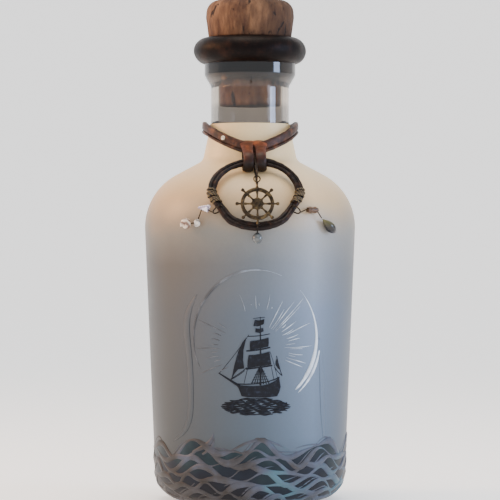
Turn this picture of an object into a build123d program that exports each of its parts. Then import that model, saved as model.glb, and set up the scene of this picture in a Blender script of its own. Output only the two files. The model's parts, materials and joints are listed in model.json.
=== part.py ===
import os
from math import asin, atan2, cos, degrees, hypot, pi, radians, sin, sqrt, tan

from build123d import *

os.makedirs("parts", exist_ok=True)

# ---------------------------------------------------------------------------
# Driving dimensions, in millimetres and degrees. +Z is up, the front faces -Y.
# The origin is the centre of the bottle's foot.
# ---------------------------------------------------------------------------

# glass bottle
foot_radius = 44.4            # where the wall line meets the floor plane
foot_round = 14.3
shoulder_radius = 50.44       # where the wall line meets the shoulder line
shoulder_height = 145.8
shoulder_round = 28.0
neck_root_radius = 22.2       # where the shoulder line meets the neck
shoulder_slope = 0.5347       # rise of the shoulder line for each step towards the neck
neck_root_round = 5.0
neck_radius = 18.6
neck_taper_rise = 17.0        # above the neck root
neck_taper_round = 30.0
neck_length = 18.4            # straight part of the neck
collar_radius = 21.7
collar_slope = 5.4
collar_round = 3.0
collar_height = 18.1
bore_radius = 15.2
body_wall = 3.2
foot_thickness = 6.0

# coat and raised pictures on the body
coat_thickness = 0.3
coat_foot_gap = 1.0
coat_top_rise = 0.6            # above the top of the neck's taper
relief_height = 0.4

# ring on the lip
lip_ring_radius = 27.1
lip_ring_depth = 12.9

# cork
cork_clearance = 0.1
cork_shank_length = 33.0
cork_shank_taper = 0.5
cork_head_foot_radius = 19.7
cork_head_radius = 21.0
cork_head_height = 17.8
cork_head_flare = 9.5
cork_crown_lean = 0.6
cork_crown_round = 6.5
cork_flare_round = 4.0
cork_neck_round = 0.4
cork_foot_round = 0.8

# neck strap
strap_height = 6.0
strap_thickness = 2.4
strap_side_play = 1.8         # between the strap and the neck's radius
strap_front_play = 7.2
strap_back_play = 2.7
strap_front_drop = 12.6       # below the top of the neck's taper
strap_front_slope = 31.5
strap_back_slope = 12.0
strap_bend = 16.0
strap_side_bend = 2.0
stud_radius = 1.1
stud_height = 1.4
stud_sink = 0.4
stud_offset = 14.0

# keeper, loop and the charm's link
keeper_width = 10.5
keeper_leather = 1.4
keeper_slot = 1.6
keeper_slot_rise = 5.0        # above the middle of the loop's top strand
loop_half_width = 20.4
loop_half_length = 18.3
loop_side_round = 17.6
loop_tilt = 34.0              # from upright, or more where the shoulder is wider
loop_tilt_step = 1.0
loop_strand_radius = 1.9
loop_play = 0.3               # between the loop and the keeper
loop_top_drop = 5.5           # below the strap's front
keeper_stand = 3.3            # from the strap's middle to the keeper's wrap of the loop
link_wire_radius = 0.35
link_play = 0.4
link_far_round = 3.1
link_length = 19.68           # from the loop's top strand to the charm's eye
link_lean = 30.1              # more than the loop's tilt

# ship's wheel charm
wheel_lean = 16.0             # less than the loop's tilt
wheel_eye_radius = 1.75
wheel_eye_hole = 1.15
wheel_eye_thickness = 0.8
wheel_drop = 12.0
wheel_rim_radius = 7.7
wheel_rim_width = 1.6
wheel_hub_radius = 2.9
wheel_hub_hole = 0.8
wheel_spoke_width = 0.9
wheel_handle_reach = 10.1
wheel_handle_width = 1.3
wheel_stem_overlap = 0.2
wheel_thickness = 1.5
wheel_spokes = 8

# lashings and danglers
lashing_length = 8.0
lashing_radius = 2.3
lashing_twine = 0.4
lashing_drop = 2.5            # below the loop's middle, in its own plane
dangler_drop = 9.0            # the same, to the danglers' rings
dangler_ring_play = 0.25
dangler_wire_radius = 0.3
stem_radius = 0.25
dangler_gap = 0.5             # between a dangler and the coat
spiral_shell_length = 6.6
spiral_shell_radius = 1.65
spiral_shell_tip = 0.35
spiral_shell_whorls = 5
spiral_shell_place = (-24.6, 39.4)    # X, and drop below the top of the neck's taper
grey_shell_radius = 1.9
grey_shell_place = (-27.2, 46.6)
round_shell_radius = 3.1
round_shell_place = (-32.0, 47.4)
bead_length = 6.2
bead_radius = 1.6
bead_edge_round = 0.5
bead_start_place = (23.9, 40.3)
bead_end_place = (28.6, 41.3)
teardrop_length = 10.0
teardrop_radius = 2.4
teardrop_start_place = (30.6, 44.6)
teardrop_end_place = (36.0, 49.6)
drop_length = 5.4
drop_radius = 2.4
drop_stem = 1.0

# medallion, arch, rays and ship
medallion_height = 78.1
medallion_half_width = 28.6
medallion_half_height = 31.4
medallion_line = 0.9
arch_gap = 1.7
arch_line = 1.0
arch_foot_height = 29.0
arch_flare = (5.0, 7.0)       # how far the left leg's foot turns out, and over what height
arch_lean = 1.2
arch_right_drop = 8.0
rays_height = 73.0
ray_offset = 0.9
ray_width = 0.7
ship_height = 51.0
ship_offset = 0.8
ship_scale = 0.96             # of the points that its pictures are drawn with
ship_line = 0.6
sea_half_width = 15.6
sea_half_height = 4.2
sea_drop = 4.6
sea_offset = -0.1
sea_strokes = 7
sea_stroke_share = 0.72       # of the space between two rows
picture_gap = 0.8             # between the ring and what it frames

# waves
wave_band_foot = 2.0
wave_band_top = 27.0
splash_height = 7.6
splash_offset = -19.4
splash_reach = 8.0
splash_width = 1.5

seam = 0.01                   # keeps a short straight run beside a round
seam_turn = 40                # how far a wire ring is turned to move its seam off the wire

# ---------------------------------------------------------------------------
# Heights that follow from them
# ---------------------------------------------------------------------------
neck_root_height = shoulder_height + shoulder_slope * (shoulder_radius - neck_root_radius)
neck_taper_height = neck_root_height + neck_taper_rise
collar_foot = neck_taper_height + neck_length
collar_full = collar_foot + collar_slope
lip_height = collar_full + collar_height
coat_top = neck_taper_height + coat_top_rise
strap_front_z = neck_taper_height - strap_front_drop


def side(sketch):
    """Stand a flat sketch up in the XZ plane."""
    return Plane.XZ * sketch


def spun(sketch):
    """Spin a standing half section about the bottle's axis."""
    return revolve(side(sketch), axis=Axis.Z)


def closed(*edges):
    return make_face(Wire(list(edges)))


def outside_section():
    """Half section of the bottle's outside, filled to the axis."""
    wall = FilletPolyline(
        (foot_radius - foot_round, 0),
        (foot_radius, 0),
        (shoulder_radius, shoulder_height),
        (neck_root_radius, neck_root_height),
        (neck_radius, neck_taper_height),
        (neck_radius, collar_foot),
        (collar_radius, collar_full),
        (collar_radius, lip_height),
        radius=[foot_round - seam, shoulder_round, neck_root_round, neck_taper_round,
                collar_round, collar_round],
    )
    start, end = wall @ 0, wall @ 1
    return make_face(wall + Polyline(end, (0, lip_height), (0, 0), start))


outside = outside_section()


def outer_radius(z):
    """Radius of the glass at height z."""
    return (Edge.make_line((0, z), (2 * shoulder_radius, z)) & outside).length


def grown(amount):
    """Solid of the outside, grown by amount and cut off at the floor and at the lip."""
    keep = Pos(shoulder_radius, lip_height / 2) * Rectangle(2 * shoulder_radius, lip_height)
    section = offset(outside, amount, kind=Kind.ARC) & keep
    return spun(section)


glass_solid = spun(outside)
coat_solid = grown(coat_thickness)
relief_solid = grown(coat_thickness + relief_height)
coat_skin = coat_solid - glass_solid
relief_skin = relief_solid - coat_solid


def slice_of(shape, low, high):
    """The part of shape between two heights."""
    size = 4 * shoulder_radius
    return shape & Pos(0, 0, (low + high) / 2) * Box(size, size, high - low)


front_skin = relief_skin & Pos(0, -2 * shoulder_radius, lip_height / 2) * Box(
    4 * shoulder_radius, 4 * shoulder_radius, lip_height)


def raised(sketch):
    """A raised picture on the front of the coat, from a flat sketch in X and Z."""
    return front_skin & extrude(side(sketch), amount=2 * shoulder_radius, both=True)


def surface_point(x, z, lift):
    """A point that floats lift above the front of the coat."""
    reach = outer_radius(z) + coat_thickness + lift
    return Vector(x, -sqrt(reach ** 2 - x ** 2), z)


def along(start, end):
    """A plane at start whose normal points to end."""
    return Plane(origin=start, z_dir=end - start)


# ---------------------------------------------------------------------------
# Bottle, coat, lip ring and cork
# ---------------------------------------------------------------------------

def glass_bottle():
    cavity = FilletPolyline(
        (0, foot_thickness),
        (foot_radius - body_wall, foot_thickness),
        (shoulder_radius - body_wall, shoulder_height - body_wall / 2),
        (bore_radius, neck_root_height),
        (bore_radius, lip_height),
        radius=[foot_round - body_wall, shoulder_round - body_wall, neck_root_round + body_wall],
    )
    hollow = make_face(cavity + Polyline(cavity @ 1, (0, lip_height), cavity @ 0))
    return glass_solid - spun(hollow)


def frost_coat():
    return slice_of(coat_skin, coat_foot_gap, coat_top)


def lip_ring():
    half = lip_ring_depth / 2
    belly = lip_ring_radius - half
    outline = Pos(belly, lip_height - half) * Circle(half)
    outline += Pos((collar_radius + belly) / 2, lip_height - half) * Rectangle(
        belly - collar_radius, lip_ring_depth)
    outline -= Pos(collar_radius / 2, lip_height - half) * Rectangle(collar_radius, 2 * lip_ring_depth)
    return spun(outline)


def cork_stopper():
    shank = bore_radius - cork_clearance
    foot = lip_height - cork_shank_length
    flare = lip_height + cork_head_flare
    top = lip_height + cork_head_height
    outline = FilletPolyline(
        (0, foot),
        (shank - cork_shank_taper, foot),
        (shank, lip_height),
        (cork_head_foot_radius, lip_height),
        (cork_head_radius, flare),
        (cork_head_radius - cork_crown_lean, top),
        (0, top),
        radius=[cork_foot_round, cork_clearance / 2, cork_neck_round, cork_flare_round, cork_crown_round],
    )
    return spun(make_face(outline + Line(outline @ 1, outline @ 0)))


# ---------------------------------------------------------------------------
# Necklace
# ---------------------------------------------------------------------------
strap_inside = neck_radius + strap_thickness / 2
strap_side_radius = strap_inside + strap_side_play
strap_front_reach = strap_inside + strap_front_play
strap_back_reach = strap_inside + strap_back_play
strap_half_depth = (strap_front_reach + strap_back_reach) / 2
strap_centre_y = (strap_back_reach - strap_front_reach) / 2
strap_front = Vector(0, -strap_front_reach, strap_front_z)
strap_reach = strap_side_radius + strap_thickness


def bend_rise(slope):
    """How far the bend lifts the lowest place of the strap above the corner of its lines."""
    return strap_bend * (1 / cos(radians(slope)) - 1)


strap_dip = strap_reach * tan(radians(strap_front_slope))
strap_side_z = strap_front_z - bend_rise(strap_front_slope) + strap_dip


def strap_band(slope):
    """A band that dips at the given slope from its side height to the middle."""
    corner = strap_side_z - strap_reach * tan(radians(slope))
    half = strap_height / 2
    far = 2 * strap_reach
    line = FilletPolyline((-far, strap_side_z), (-strap_reach, strap_side_z), (0, corner),
                          (strap_reach, strap_side_z), (far, strap_side_z),
                          radius=[strap_side_bend, strap_bend, strap_side_bend])
    band = make_face(
        Pos(0, half) * line + Pos(0, -half) * line
        + Line((-far, strap_side_z - half), (-far, strap_side_z + half))
        + Line((far, strap_side_z - half), (far, strap_side_z + half))
    )
    return extrude(side(band), amount=3 * strap_reach, both=True)


def neck_strap():
    wide = strap_thickness / 2
    ring = (Ellipse(strap_side_radius + wide, strap_half_depth + wide)
            - Ellipse(strap_side_radius - wide, strap_half_depth - wide))
    size = 4 * strap_side_radius
    tube = Pos(0, strap_centre_y, strap_front_z) * extrude(ring, amount=size / 2, both=True)
    front = tube & strap_band(strap_front_slope)
    back = tube & strap_band(strap_back_slope)
    front = front & Pos(0, strap_centre_y - size / 2, strap_front_z) * Box(size, size, size)
    back = back & Pos(0, strap_centre_y + size / 2, strap_front_z) * Box(size, size, size)
    return front + back


def strap_surface(x, lift):
    """A point on the front outside of the strap, at its middle height there."""
    wide = strap_thickness / 2 + lift
    share = sqrt(1 - (x / (strap_side_radius + wide)) ** 2)
    z = strap_side_z - (strap_reach - abs(x)) * tan(radians(strap_front_slope))
    return Vector(x, strap_centre_y - (strap_half_depth + wide) * share, z)


def strap_stud():
    inner = strap_surface(-stud_offset, -stud_sink)
    outer = strap_surface(-stud_offset, 1)
    cap = Cylinder(stud_radius, stud_height, align=(Align.CENTER, Align.CENTER, Align.MIN))
    head = fillet(cap.edges().sort_by(Axis.Z)[-1], stud_radius * 0.5)
    return along(inner, Vector(outer.X, outer.Y, inner.Z)) * head


# ---------------------------------------------------------------------------
# Pendant: keeper, loop, lashings, link and wheel
# ---------------------------------------------------------------------------
loop_hole = loop_strand_radius + loop_play + (keeper_width / 2) ** 2 / (2 * loop_half_width)
wrap_loop = loop_hole + keeper_leather
loop_top = strap_front + Vector(0, -keeper_stand - wrap_loop, -loop_top_drop)


def down_at(tilt):
    """The way down at a tilt from upright, outwards from the bottle."""
    return Vector(0, -sin(radians(tilt)), -cos(radians(tilt)))


def hang():
    """The loop's tilt: the stated one, or the first flatter one that clears the coat."""
    tilt = loop_tilt
    while tilt < 90:
        middle = loop_top + down_at(tilt) * loop_half_length
        beside = middle + Vector(loop_half_width, 0, 0)
        below = middle + down_at(tilt) * loop_half_length - Vector(0, 0, 2 * drop_radius + drop_length / 2)
        needs = [(beside, lashing_radius + lashing_twine), (below, drop_radius)]
        if all(hypot(at.X, at.Y) - outer_radius(at.Z) - coat_thickness > reach + dangler_gap / 2
               for at, reach in needs):
            break
        tilt += loop_tilt_step
    return tilt


hang_tilt = hang()
slope = down_at(hang_tilt)
loop_centre = loop_top + slope * loop_half_length
loop_plane = Plane(origin=loop_centre, x_dir=(1, 0, 0), z_dir=Vector(1, 0, 0).cross(slope * -1))


def loop_path():
    """Oval of four tangent arcs, in the loop's own plane: X across, Y up the slope."""
    small = loop_side_round
    wide, tall = loop_half_width, loop_half_length
    # end arcs of radius big, centred on the long axis, meet the side arcs on a tangent
    gap = wide - small
    big = (tall ** 2 + gap ** 2 - small ** 2) / (2 * (tall - small))
    rise = big - tall
    lean = atan2(gap, rise)
    join = Vector(big * sin(lean), big * cos(lean) - rise)
    corners = [Vector(join.X, join.Y), Vector(join.X, -join.Y),
               Vector(-join.X, -join.Y), Vector(-join.X, join.Y)]
    middles = [Vector(wide, 0), Vector(0, -tall), Vector(-wide, 0), Vector(0, tall)]
    edges = [ThreePointArc(corners[i], middles[i], corners[(i + 1) % 4]) for i in range(4)]
    return Wire([edge.edge() for edge in edges])


def loop_point(drop):
    """Centre of the loop's right strand, drop below its middle in the sloping plane."""
    centre = loop_half_width - loop_side_round
    x = centre + sqrt(loop_side_round ** 2 - drop ** 2)
    return loop_plane.from_local_coords(Vector(x, -drop))


def loop_direction(drop):
    """Direction up the right strand at that place."""
    run = sqrt(loop_side_round ** 2 - drop ** 2)
    local = Vector(drop, run).normalized()
    return loop_plane.x_dir * local.X + loop_plane.y_dir * local.Y


def mirrored(vector):
    return Vector(-vector.X, vector.Y, vector.Z)


def pendant_loop():
    path = loop_plane * loop_path()
    section = Plane(origin=path @ 0, z_dir=path % 0) * Circle(loop_strand_radius)
    return sweep(section, path=path)


def lashing(middle, way):
    """A sleeve of twine round the loop's strand."""
    pitch = 4 * lashing_twine
    sleeve = Cylinder(lashing_radius, lashing_length) - Cylinder(loop_strand_radius, lashing_length)
    turns = int(lashing_length / pitch)
    wraps = [Pos(0, 0, (index - (turns - 1) / 2) * pitch) * Torus(lashing_radius, lashing_twine)
             for index in range(turns)]
    return Plane(origin=middle, z_dir=way) * (sleeve + wraps)


def left_lashing():
    return lashing(mirrored(loop_point(lashing_drop)), mirrored(loop_direction(lashing_drop)))


def right_lashing():
    return lashing(loop_point(lashing_drop), loop_direction(lashing_drop))


link_near_round = loop_strand_radius + link_play + link_wire_radius
charm_eye = loop_top + down_at(hang_tilt + link_lean) * link_length


def strap_keeper():
    """Leather folded round the strap and round the loop's top strand, in two lobes below."""
    strap_place = Pos(strap_front.Y, strap_front.Z)
    loop_place = Pos(loop_top.Y, loop_top.Z)
    strap_wrap = strap_place * SlotOverall(strap_height + 2 * keeper_leather,
                                           strap_thickness + 2 * keeper_leather, rotation=90)
    body = make_hull((strap_wrap + loop_place * Circle(wrap_loop)).edges())
    body -= strap_place * Rectangle(strap_thickness, strap_height)
    body -= loop_place * Circle(loop_hole)
    leather = extrude(Plane.YZ * body, amount=keeper_width / 2, both=True)
    deep = 4 * wrap_loop
    slot = Box(keeper_slot, deep, deep, align=(Align.CENTER, Align.CENTER, Align.MAX))
    return leather - Pos(*(loop_top + Vector(0, 0, keeper_slot_rise))) * slot


def charm_link():
    """Long wire link in the YZ plane, round the loop's top strand and through the charm's eye."""
    way = (charm_eye - loop_top).normalized()
    length = (charm_eye - loop_top).length
    plane = Plane(origin=loop_top, x_dir=way, z_dir=(1, 0, 0))
    near, far = link_near_round, link_far_round
    span = length - far
    lean = (near - far) / span
    run = sqrt(1 - lean ** 2)
    near_up, far_up = (near * lean, near * run), (span + far * lean, far * run)
    near_down, far_down = (near_up[0], -near_up[1]), (far_up[0], -far_up[1])
    path = plane * Wire([
        ThreePointArc(near_down, (-near, 0), near_up).edge(),
        Line(near_up, far_up).edge(),
        ThreePointArc(far_up, (length, 0), far_down).edge(),
        Line(far_down, near_down).edge(),
    ])
    section = Plane(origin=path @ 0, z_dir=path % 0) * Circle(link_wire_radius)
    return sweep(section, path=path)


wheel_down = down_at(hang_tilt - wheel_lean)
wheel_plane = Plane(origin=charm_eye, x_dir=(1, 0, 0),
                    z_dir=Vector(1, 0, 0).cross(wheel_down * -1))


def ship_wheel_charm():
    centre = Pos(0, -wheel_drop)
    rim = Circle(wheel_rim_radius) - Circle(wheel_rim_radius - wheel_rim_width)
    hub = RegularPolygon(wheel_hub_radius, 8) - Circle(wheel_hub_hole)
    flat = rim + hub
    for index in range(wheel_spokes):
        turn = Rot(0, 0, 90 + index * 360 / wheel_spokes)
        spoke_end = wheel_rim_radius - wheel_rim_width / 2
        spoke_start = 2 * wheel_hub_hole
        run = spoke_end - spoke_start
        flat += turn * Pos(spoke_start + run / 2, 0) * Rectangle(run, wheel_spoke_width)
        if index:
            length = wheel_handle_reach - spoke_end
            flat += turn * Pos(spoke_end + length / 2, 0) * SlotOverall(length, wheel_handle_width)
    stem_length = wheel_drop - wheel_rim_radius
    flat = centre * flat
    stem_run = stem_length - wheel_eye_radius
    flat += Pos(0, -wheel_eye_radius - stem_run / 2 - wheel_stem_overlap) * Rectangle(
        wheel_handle_width, stem_run + 4 * wheel_stem_overlap)
    eye = Circle(wheel_eye_radius) - Circle(wheel_eye_hole)
    plate = extrude(flat, amount=wheel_thickness / 2, both=True)
    plate -= Cylinder(wheel_eye_radius, 2 * wheel_thickness)
    plate += extrude(eye, amount=wheel_eye_thickness / 2, both=True)
    return wheel_plane * plate


# ---------------------------------------------------------------------------
# Danglers
# ---------------------------------------------------------------------------
ring_radius = loop_strand_radius + dangler_ring_play + dangler_wire_radius
right_hook = loop_point(dangler_drop)
left_hook = mirrored(right_hook)
right_way = loop_direction(dangler_drop)
left_way = mirrored(right_way)
drop_hook = loop_centre + slope * loop_half_length


def wire(*points):
    """Straight wire runs through the given points, rounded at their joints."""
    runs = []
    for start, end in zip(points, points[1:]):
        length = (end - start).length
        rod = Cylinder(stem_radius, length, align=(Align.CENTER, Align.CENTER, Align.MIN))
        runs.append(along(start, end) * rod)
    knots = [Pos(*point) * Sphere(dangler_wire_radius) for point in points[1:-1]]
    shape = runs[0]
    for piece in runs[1:] + knots:
        shape += piece
    return shape


def hook_edge(centre, way, toward):
    """The point of a hook ring that faces toward."""
    out = (toward - centre)
    out = out - way * out.dot(way)
    return centre + out.normalized() * ring_radius


def charm_wire(centre, way, points):
    """A ring on the loop and a wire from it through the points, as one solid."""
    rods = wire(hook_edge(centre, way, points[0]), *points)
    for turn in range(0, 360, seam_turn):
        ring = Plane(origin=centre, z_dir=way) * Rot(0, 0, turn) * Torus(ring_radius, dangler_wire_radius)
        shape = ring + rods
        if shape.is_valid and shape.volume > ring.volume + rods.volume / 2:
            return shape
    raise ValueError("the wire doesn't join its ring")


def over_coat(place, radius):
    """Where a charm of that radius lies clear of the coat, from its X and its drop."""
    x, drop = place
    return surface_point(x, neck_taper_height - drop, radius + dangler_gap)


left_points = [
    over_coat(spiral_shell_place, spiral_shell_radius),
    over_coat(grey_shell_place, grey_shell_radius),
    over_coat(round_shell_place, round_shell_radius),
]
right_points = [
    over_coat(bead_start_place, bead_radius),
    over_coat(bead_end_place, bead_radius),
    over_coat(teardrop_start_place, teardrop_radius),
    over_coat(teardrop_end_place, teardrop_radius),
]


def left_spiral_shell():
    """A spiral shell, with round whorls that grow from its point to its mouth."""
    start = hook_edge(left_hook, left_way, left_points[0])
    centre = left_points[0]
    way = (centre - start).normalized()
    body = Cone(spiral_shell_tip, spiral_shell_radius, spiral_shell_length)
    for index in range(spiral_shell_whorls):
        share = (index + 0.5) / spiral_shell_whorls
        z = (share - 0.5) * spiral_shell_length
        radius = spiral_shell_tip + (spiral_shell_radius - spiral_shell_tip) * share
        body += Pos(0, 0, z) * Torus(radius * 0.75, radius * 0.45)
    return Plane(origin=centre, z_dir=way * -1) * body


def left_grey_shell():
    shell = Plane(origin=left_points[1], z_dir=(0, 0, 1))
    return shell * scale(Sphere(grey_shell_radius), by=(1.0, 0.8, 1.1))


def left_round_shell():
    way = Vector(left_points[2].X, left_points[2].Y, 0)
    shell = Plane(origin=left_points[2], z_dir=way)
    return shell * scale(Sphere(round_shell_radius), by=(0.82, 1.0, 0.8))


def left_charm_wire():
    return charm_wire(left_hook, left_way, left_points)


def right_wood_bead():
    start, end = right_points[0], right_points[1]
    bead = Cylinder(bead_radius, bead_length)
    bead = fillet(bead.edges(), bead_edge_round)
    middle = (start + end) * 0.5
    return Plane(origin=middle, z_dir=end - start) * bead


def drop_solid(length, radius):
    """A drop with its tip at the origin and its round end up Z."""
    centre = length - radius
    lean = asin(radius / centre)
    middle = (pi / 2 - lean) / 2
    touch = (radius * cos(lean), centre - radius * sin(lean))
    bulge = (radius * cos(middle), centre + radius * sin(middle))
    outline = closed(
        Line((0, 0), touch).edge(),
        ThreePointArc(touch, bulge, (0, length)).edge(),
        Line((0, length), (0, 0)).edge(),
    )
    return revolve(side(outline), axis=Axis.Z)


def right_teardrop():
    return along(right_points[2], right_points[3]) * drop_solid(teardrop_length, teardrop_radius)


def right_charm_wire():
    return charm_wire(right_hook, right_way, right_points[:3])


def drop_ring():
    ring = Plane(origin=drop_hook, z_dir=(1, 0, 0)) * Torus(ring_radius, dangler_wire_radius)
    foot = drop_hook - Vector(0, 0, ring_radius)
    return ring + wire(foot, foot - Vector(0, 0, dangler_wire_radius + drop_stem))


def glass_drop():
    top = drop_hook - Vector(0, 0, ring_radius + dangler_wire_radius)
    return Pos(*top) * Rot(180, 0, 0) * drop_solid(drop_length, drop_radius)


# ---------------------------------------------------------------------------
# Raised pictures on the front
# ---------------------------------------------------------------------------

def stroke(points, width):
    """A line of the given width through the points, in X and Z."""
    shape = None
    for start, end in zip(points, points[1:]):
        run = hypot(end[0] - start[0], end[1] - start[1])
        turn = degrees(atan2(end[1] - start[1], end[0] - start[0]))
        middle = ((start[0] + end[0]) / 2, (start[1] + end[1]) / 2)
        bar = Pos(*middle) * Rot(0, 0, turn) * SlotOverall(run + width, width)
        shape = bar if shape is None else shape + bar
    return shape


def ship_at(points):
    """Ship points, measured from amidships at the water, in the body's X and Z."""
    return [(ship_offset + ship_scale * x, ship_height + ship_scale * z) for x, z in points]


def medallion_ring():
    line = medallion_line / 2
    ring = (Ellipse(medallion_half_width + line, medallion_half_height + line)
            - Ellipse(medallion_half_width - line, medallion_half_height - line))
    sea = Ellipse(sea_half_width + picture_gap, sea_half_height + 3 * picture_gap)
    return raised(Pos(0, medallion_height) * ring - Pos(sea_offset, ship_height - sea_drop) * sea)


def arch_relief():
    x = medallion_half_width + arch_gap
    top = medallion_height
    out, rise = arch_flare
    left = stroke([(-x, top), (-x, arch_foot_height + rise), (-x - out, arch_foot_height)], arch_line)
    right = stroke([(x, top - arch_right_drop), (x + arch_lean, arch_foot_height)], arch_line)
    return raised(left + right)


def sun_rays():
    """Tapered rays in fans on both sides of the ship and above it."""
    # first and last angle, count, near and far end; every third ray is longer
    fans = ((-14, 62, 11, 14.0, 23.0), (72, 104, 4, 18.5, 23.0), (148, 206, 9, 17.0, 26.0))
    rays = None
    for first, last, count, near, far in fans:
        for index in range(count):
            angle = first + (last - first) * index / (count - 1)
            reach = far + (4.0 if index % 3 == 0 else 0.0)
            ray = Rot(0, 0, angle) * Polygon(
                (near, -ray_width / 2), (reach, 0), (near, ray_width / 2), align=None)
            rays = ray if rays is None else rays + ray
    inset = medallion_line / 2 + picture_gap
    frame = Ellipse(medallion_half_width - inset, medallion_half_height - inset)
    return raised(Pos(ray_offset, rays_height) * rays & Pos(0, medallion_height) * frame)


def ship_hull():
    hull = [(-10.0, 5.6), (-2.4, 5.2), (5.0, 6.0), (10.2, 8.9), (10.9, 4.8), (9.0, 0.0),
            (-7.8, 0.3), (-8.7, 3.0)]
    bowsprit = [(-9.0, 4.6), (-18.8, 10.9), (-18.5, 11.5), (-9.4, 6.2)]
    flat = Polygon(*ship_at(hull), align=None) + Polygon(*ship_at(bowsprit), align=None)
    return raised(flat)


def ship_sails():
    sails = [
        [(-4.5, 20.0), (5.5, 21.6), (6.4, 15.4), (-5.1, 13.9)],
        [(-3.8, 26.7), (5.0, 28.4), (4.9, 24.0), (-3.8, 22.4)],
        [(-1.9, 31.6), (2.9, 33.0), (2.7, 36.2), (-1.6, 35.0)],
        [(-5.6, 28.4), (-12.7, 8.4), (-6.7, 13.7)],
        [(9.2, 18.4), (10.6, 13.0), (8.2, 15.4)],
    ]
    flat = None
    for sail in sails:
        piece = Polygon(*ship_at(sail), align=None)
        flat = piece if flat is None else flat + piece
    return raised(flat)


def ship_rigging():
    """Masts, stays and the shrouds that fan down to the deck."""
    lines = [
        [(1.2, 28.9), (1.0, 31.2)],
        [(1.2, 21.8), (1.1, 22.7)],
        [(1.4, 13.4), (1.4, 7.0)],
        [(-6.3, 12.6), (-10.2, 8.0)],
        [(0.8, 13.2), (-1.9, 6.8)],
        [(2.0, 13.4), (4.5, 7.2)],
        [(9.6, 12.6), (11.2, 10.6)],
    ]
    flat = None
    for line in lines:
        piece = stroke(ship_at(line), ship_line)
        flat = piece if flat is None else flat + piece
    return raised(flat)


def sea_decal():
    """Rows of flat strokes that fill an oval."""
    width = 2 * sea_half_height / sea_strokes * sea_stroke_share
    flat = None
    for index in range(sea_strokes):
        share = (index + 0.5) / sea_strokes * 2 - 1
        z = ship_height - sea_drop + share * sea_half_height
        half = sea_half_width * sqrt(1 - share ** 2)
        row = stroke([(sea_offset - half, z), (sea_offset + half - width, z)], width)
        flat = row if flat is None else flat + row
    return raised(flat)


# ---------------------------------------------------------------------------
# Waves round the foot
# ---------------------------------------------------------------------------

def wave_band():
    return slice_of(relief_skin, wave_band_foot, wave_band_top)


def wave_splash():
    """The horn of a wave that breaks above the band."""
    x, z = splash_offset, wave_band_top
    tip, waist = z + splash_height, z + splash_height * 0.4
    left, right = x - splash_reach, x - splash_width
    horn = closed(
        ThreePointArc((left, z), (x - splash_reach / 3, waist), (x, tip)).edge(),
        ThreePointArc((x, tip), (x + splash_width * 0.8, waist), (right, z)).edge(),
        Line((right, z), (left, z)).edge(),
    )
    return raised(horn)


nodes = {
    "glass_bottle": glass_bottle,
    "frost_coat": frost_coat,
    "lip_ring": lip_ring,
    "cork_stopper": cork_stopper,
    "neck_strap": neck_strap,
    "strap_stud": strap_stud,
    "strap_keeper": strap_keeper,
    "pendant_loop": pendant_loop,
    "left_lashing": left_lashing,
    "right_lashing": right_lashing,
    "charm_link": charm_link,
    "ship_wheel_charm": ship_wheel_charm,
    "left_spiral_shell": left_spiral_shell,
    "left_grey_shell": left_grey_shell,
    "left_round_shell": left_round_shell,
    "left_charm_wire": left_charm_wire,
    "right_wood_bead": right_wood_bead,
    "right_teardrop": right_teardrop,
    "right_charm_wire": right_charm_wire,
    "drop_ring": drop_ring,
    "glass_drop": glass_drop,
    "medallion_ring": medallion_ring,
    "arch_relief": arch_relief,
    "sun_rays": sun_rays,
    "ship_hull": ship_hull,
    "ship_sails": ship_sails,
    "ship_rigging": ship_rigging,
    "sea_decal": sea_decal,
    "wave_band": wave_band,
    "wave_splash": wave_splash,
}

for name, make in nodes.items():
    shape = make()
    export_step(shape, f"parts/{name}.step")
    print(f"{name:20s} solids {len(shape.solids()):3d} volume {shape.volume:12.2f}")

for label, point, way in (("left_hook", left_hook, left_way), ("right_hook", right_hook, right_way),
                          ("drop_hook", drop_hook, Vector(1, 0, 0)), ("charm_eye", charm_eye, wheel_down),
                          ("strap_front", strap_front, Vector(1, 0, 0)),
                          ("loop_top", loop_top, Vector(1, 0, 0))):
    print(label, [round(v, 3) for v in (point.X, point.Y, point.Z, way.X, way.Y, way.Z)])
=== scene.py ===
import json
import math
import random

import bmesh
import bpy
from mathutils import Matrix, Vector, noise


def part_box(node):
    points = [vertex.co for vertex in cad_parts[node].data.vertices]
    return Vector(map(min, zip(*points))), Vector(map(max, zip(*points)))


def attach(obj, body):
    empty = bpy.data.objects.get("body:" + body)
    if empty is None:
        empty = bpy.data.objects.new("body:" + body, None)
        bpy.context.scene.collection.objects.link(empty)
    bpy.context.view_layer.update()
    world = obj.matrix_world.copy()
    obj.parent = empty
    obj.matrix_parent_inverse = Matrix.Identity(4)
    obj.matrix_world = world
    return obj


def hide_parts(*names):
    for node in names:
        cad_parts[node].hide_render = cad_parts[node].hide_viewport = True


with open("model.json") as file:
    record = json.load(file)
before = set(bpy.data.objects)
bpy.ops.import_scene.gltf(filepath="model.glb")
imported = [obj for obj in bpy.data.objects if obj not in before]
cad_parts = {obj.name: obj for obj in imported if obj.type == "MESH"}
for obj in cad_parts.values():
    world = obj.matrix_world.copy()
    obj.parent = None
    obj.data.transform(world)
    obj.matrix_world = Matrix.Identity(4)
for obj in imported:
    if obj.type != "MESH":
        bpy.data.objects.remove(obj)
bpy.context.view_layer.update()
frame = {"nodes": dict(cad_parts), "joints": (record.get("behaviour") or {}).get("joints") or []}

bl_info = {
    "name": "Corked Bottle with a Ship",
    "version": (1, 0, 0),
    "blender": (4, 5, 0),
    "location": "3D View > Sidebar > Bottle",
    "description": "Makes the finished look of a corked glass bottle around its packed frame",
    "category": "Object",
}

MM = 0.001
TURN = 2 * math.pi
JOINTS = {joint["name"]: joint for joint in frame["joints"]}


# ---------------------------------------------------------------------------
# Colour and node helpers
# ---------------------------------------------------------------------------

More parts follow.
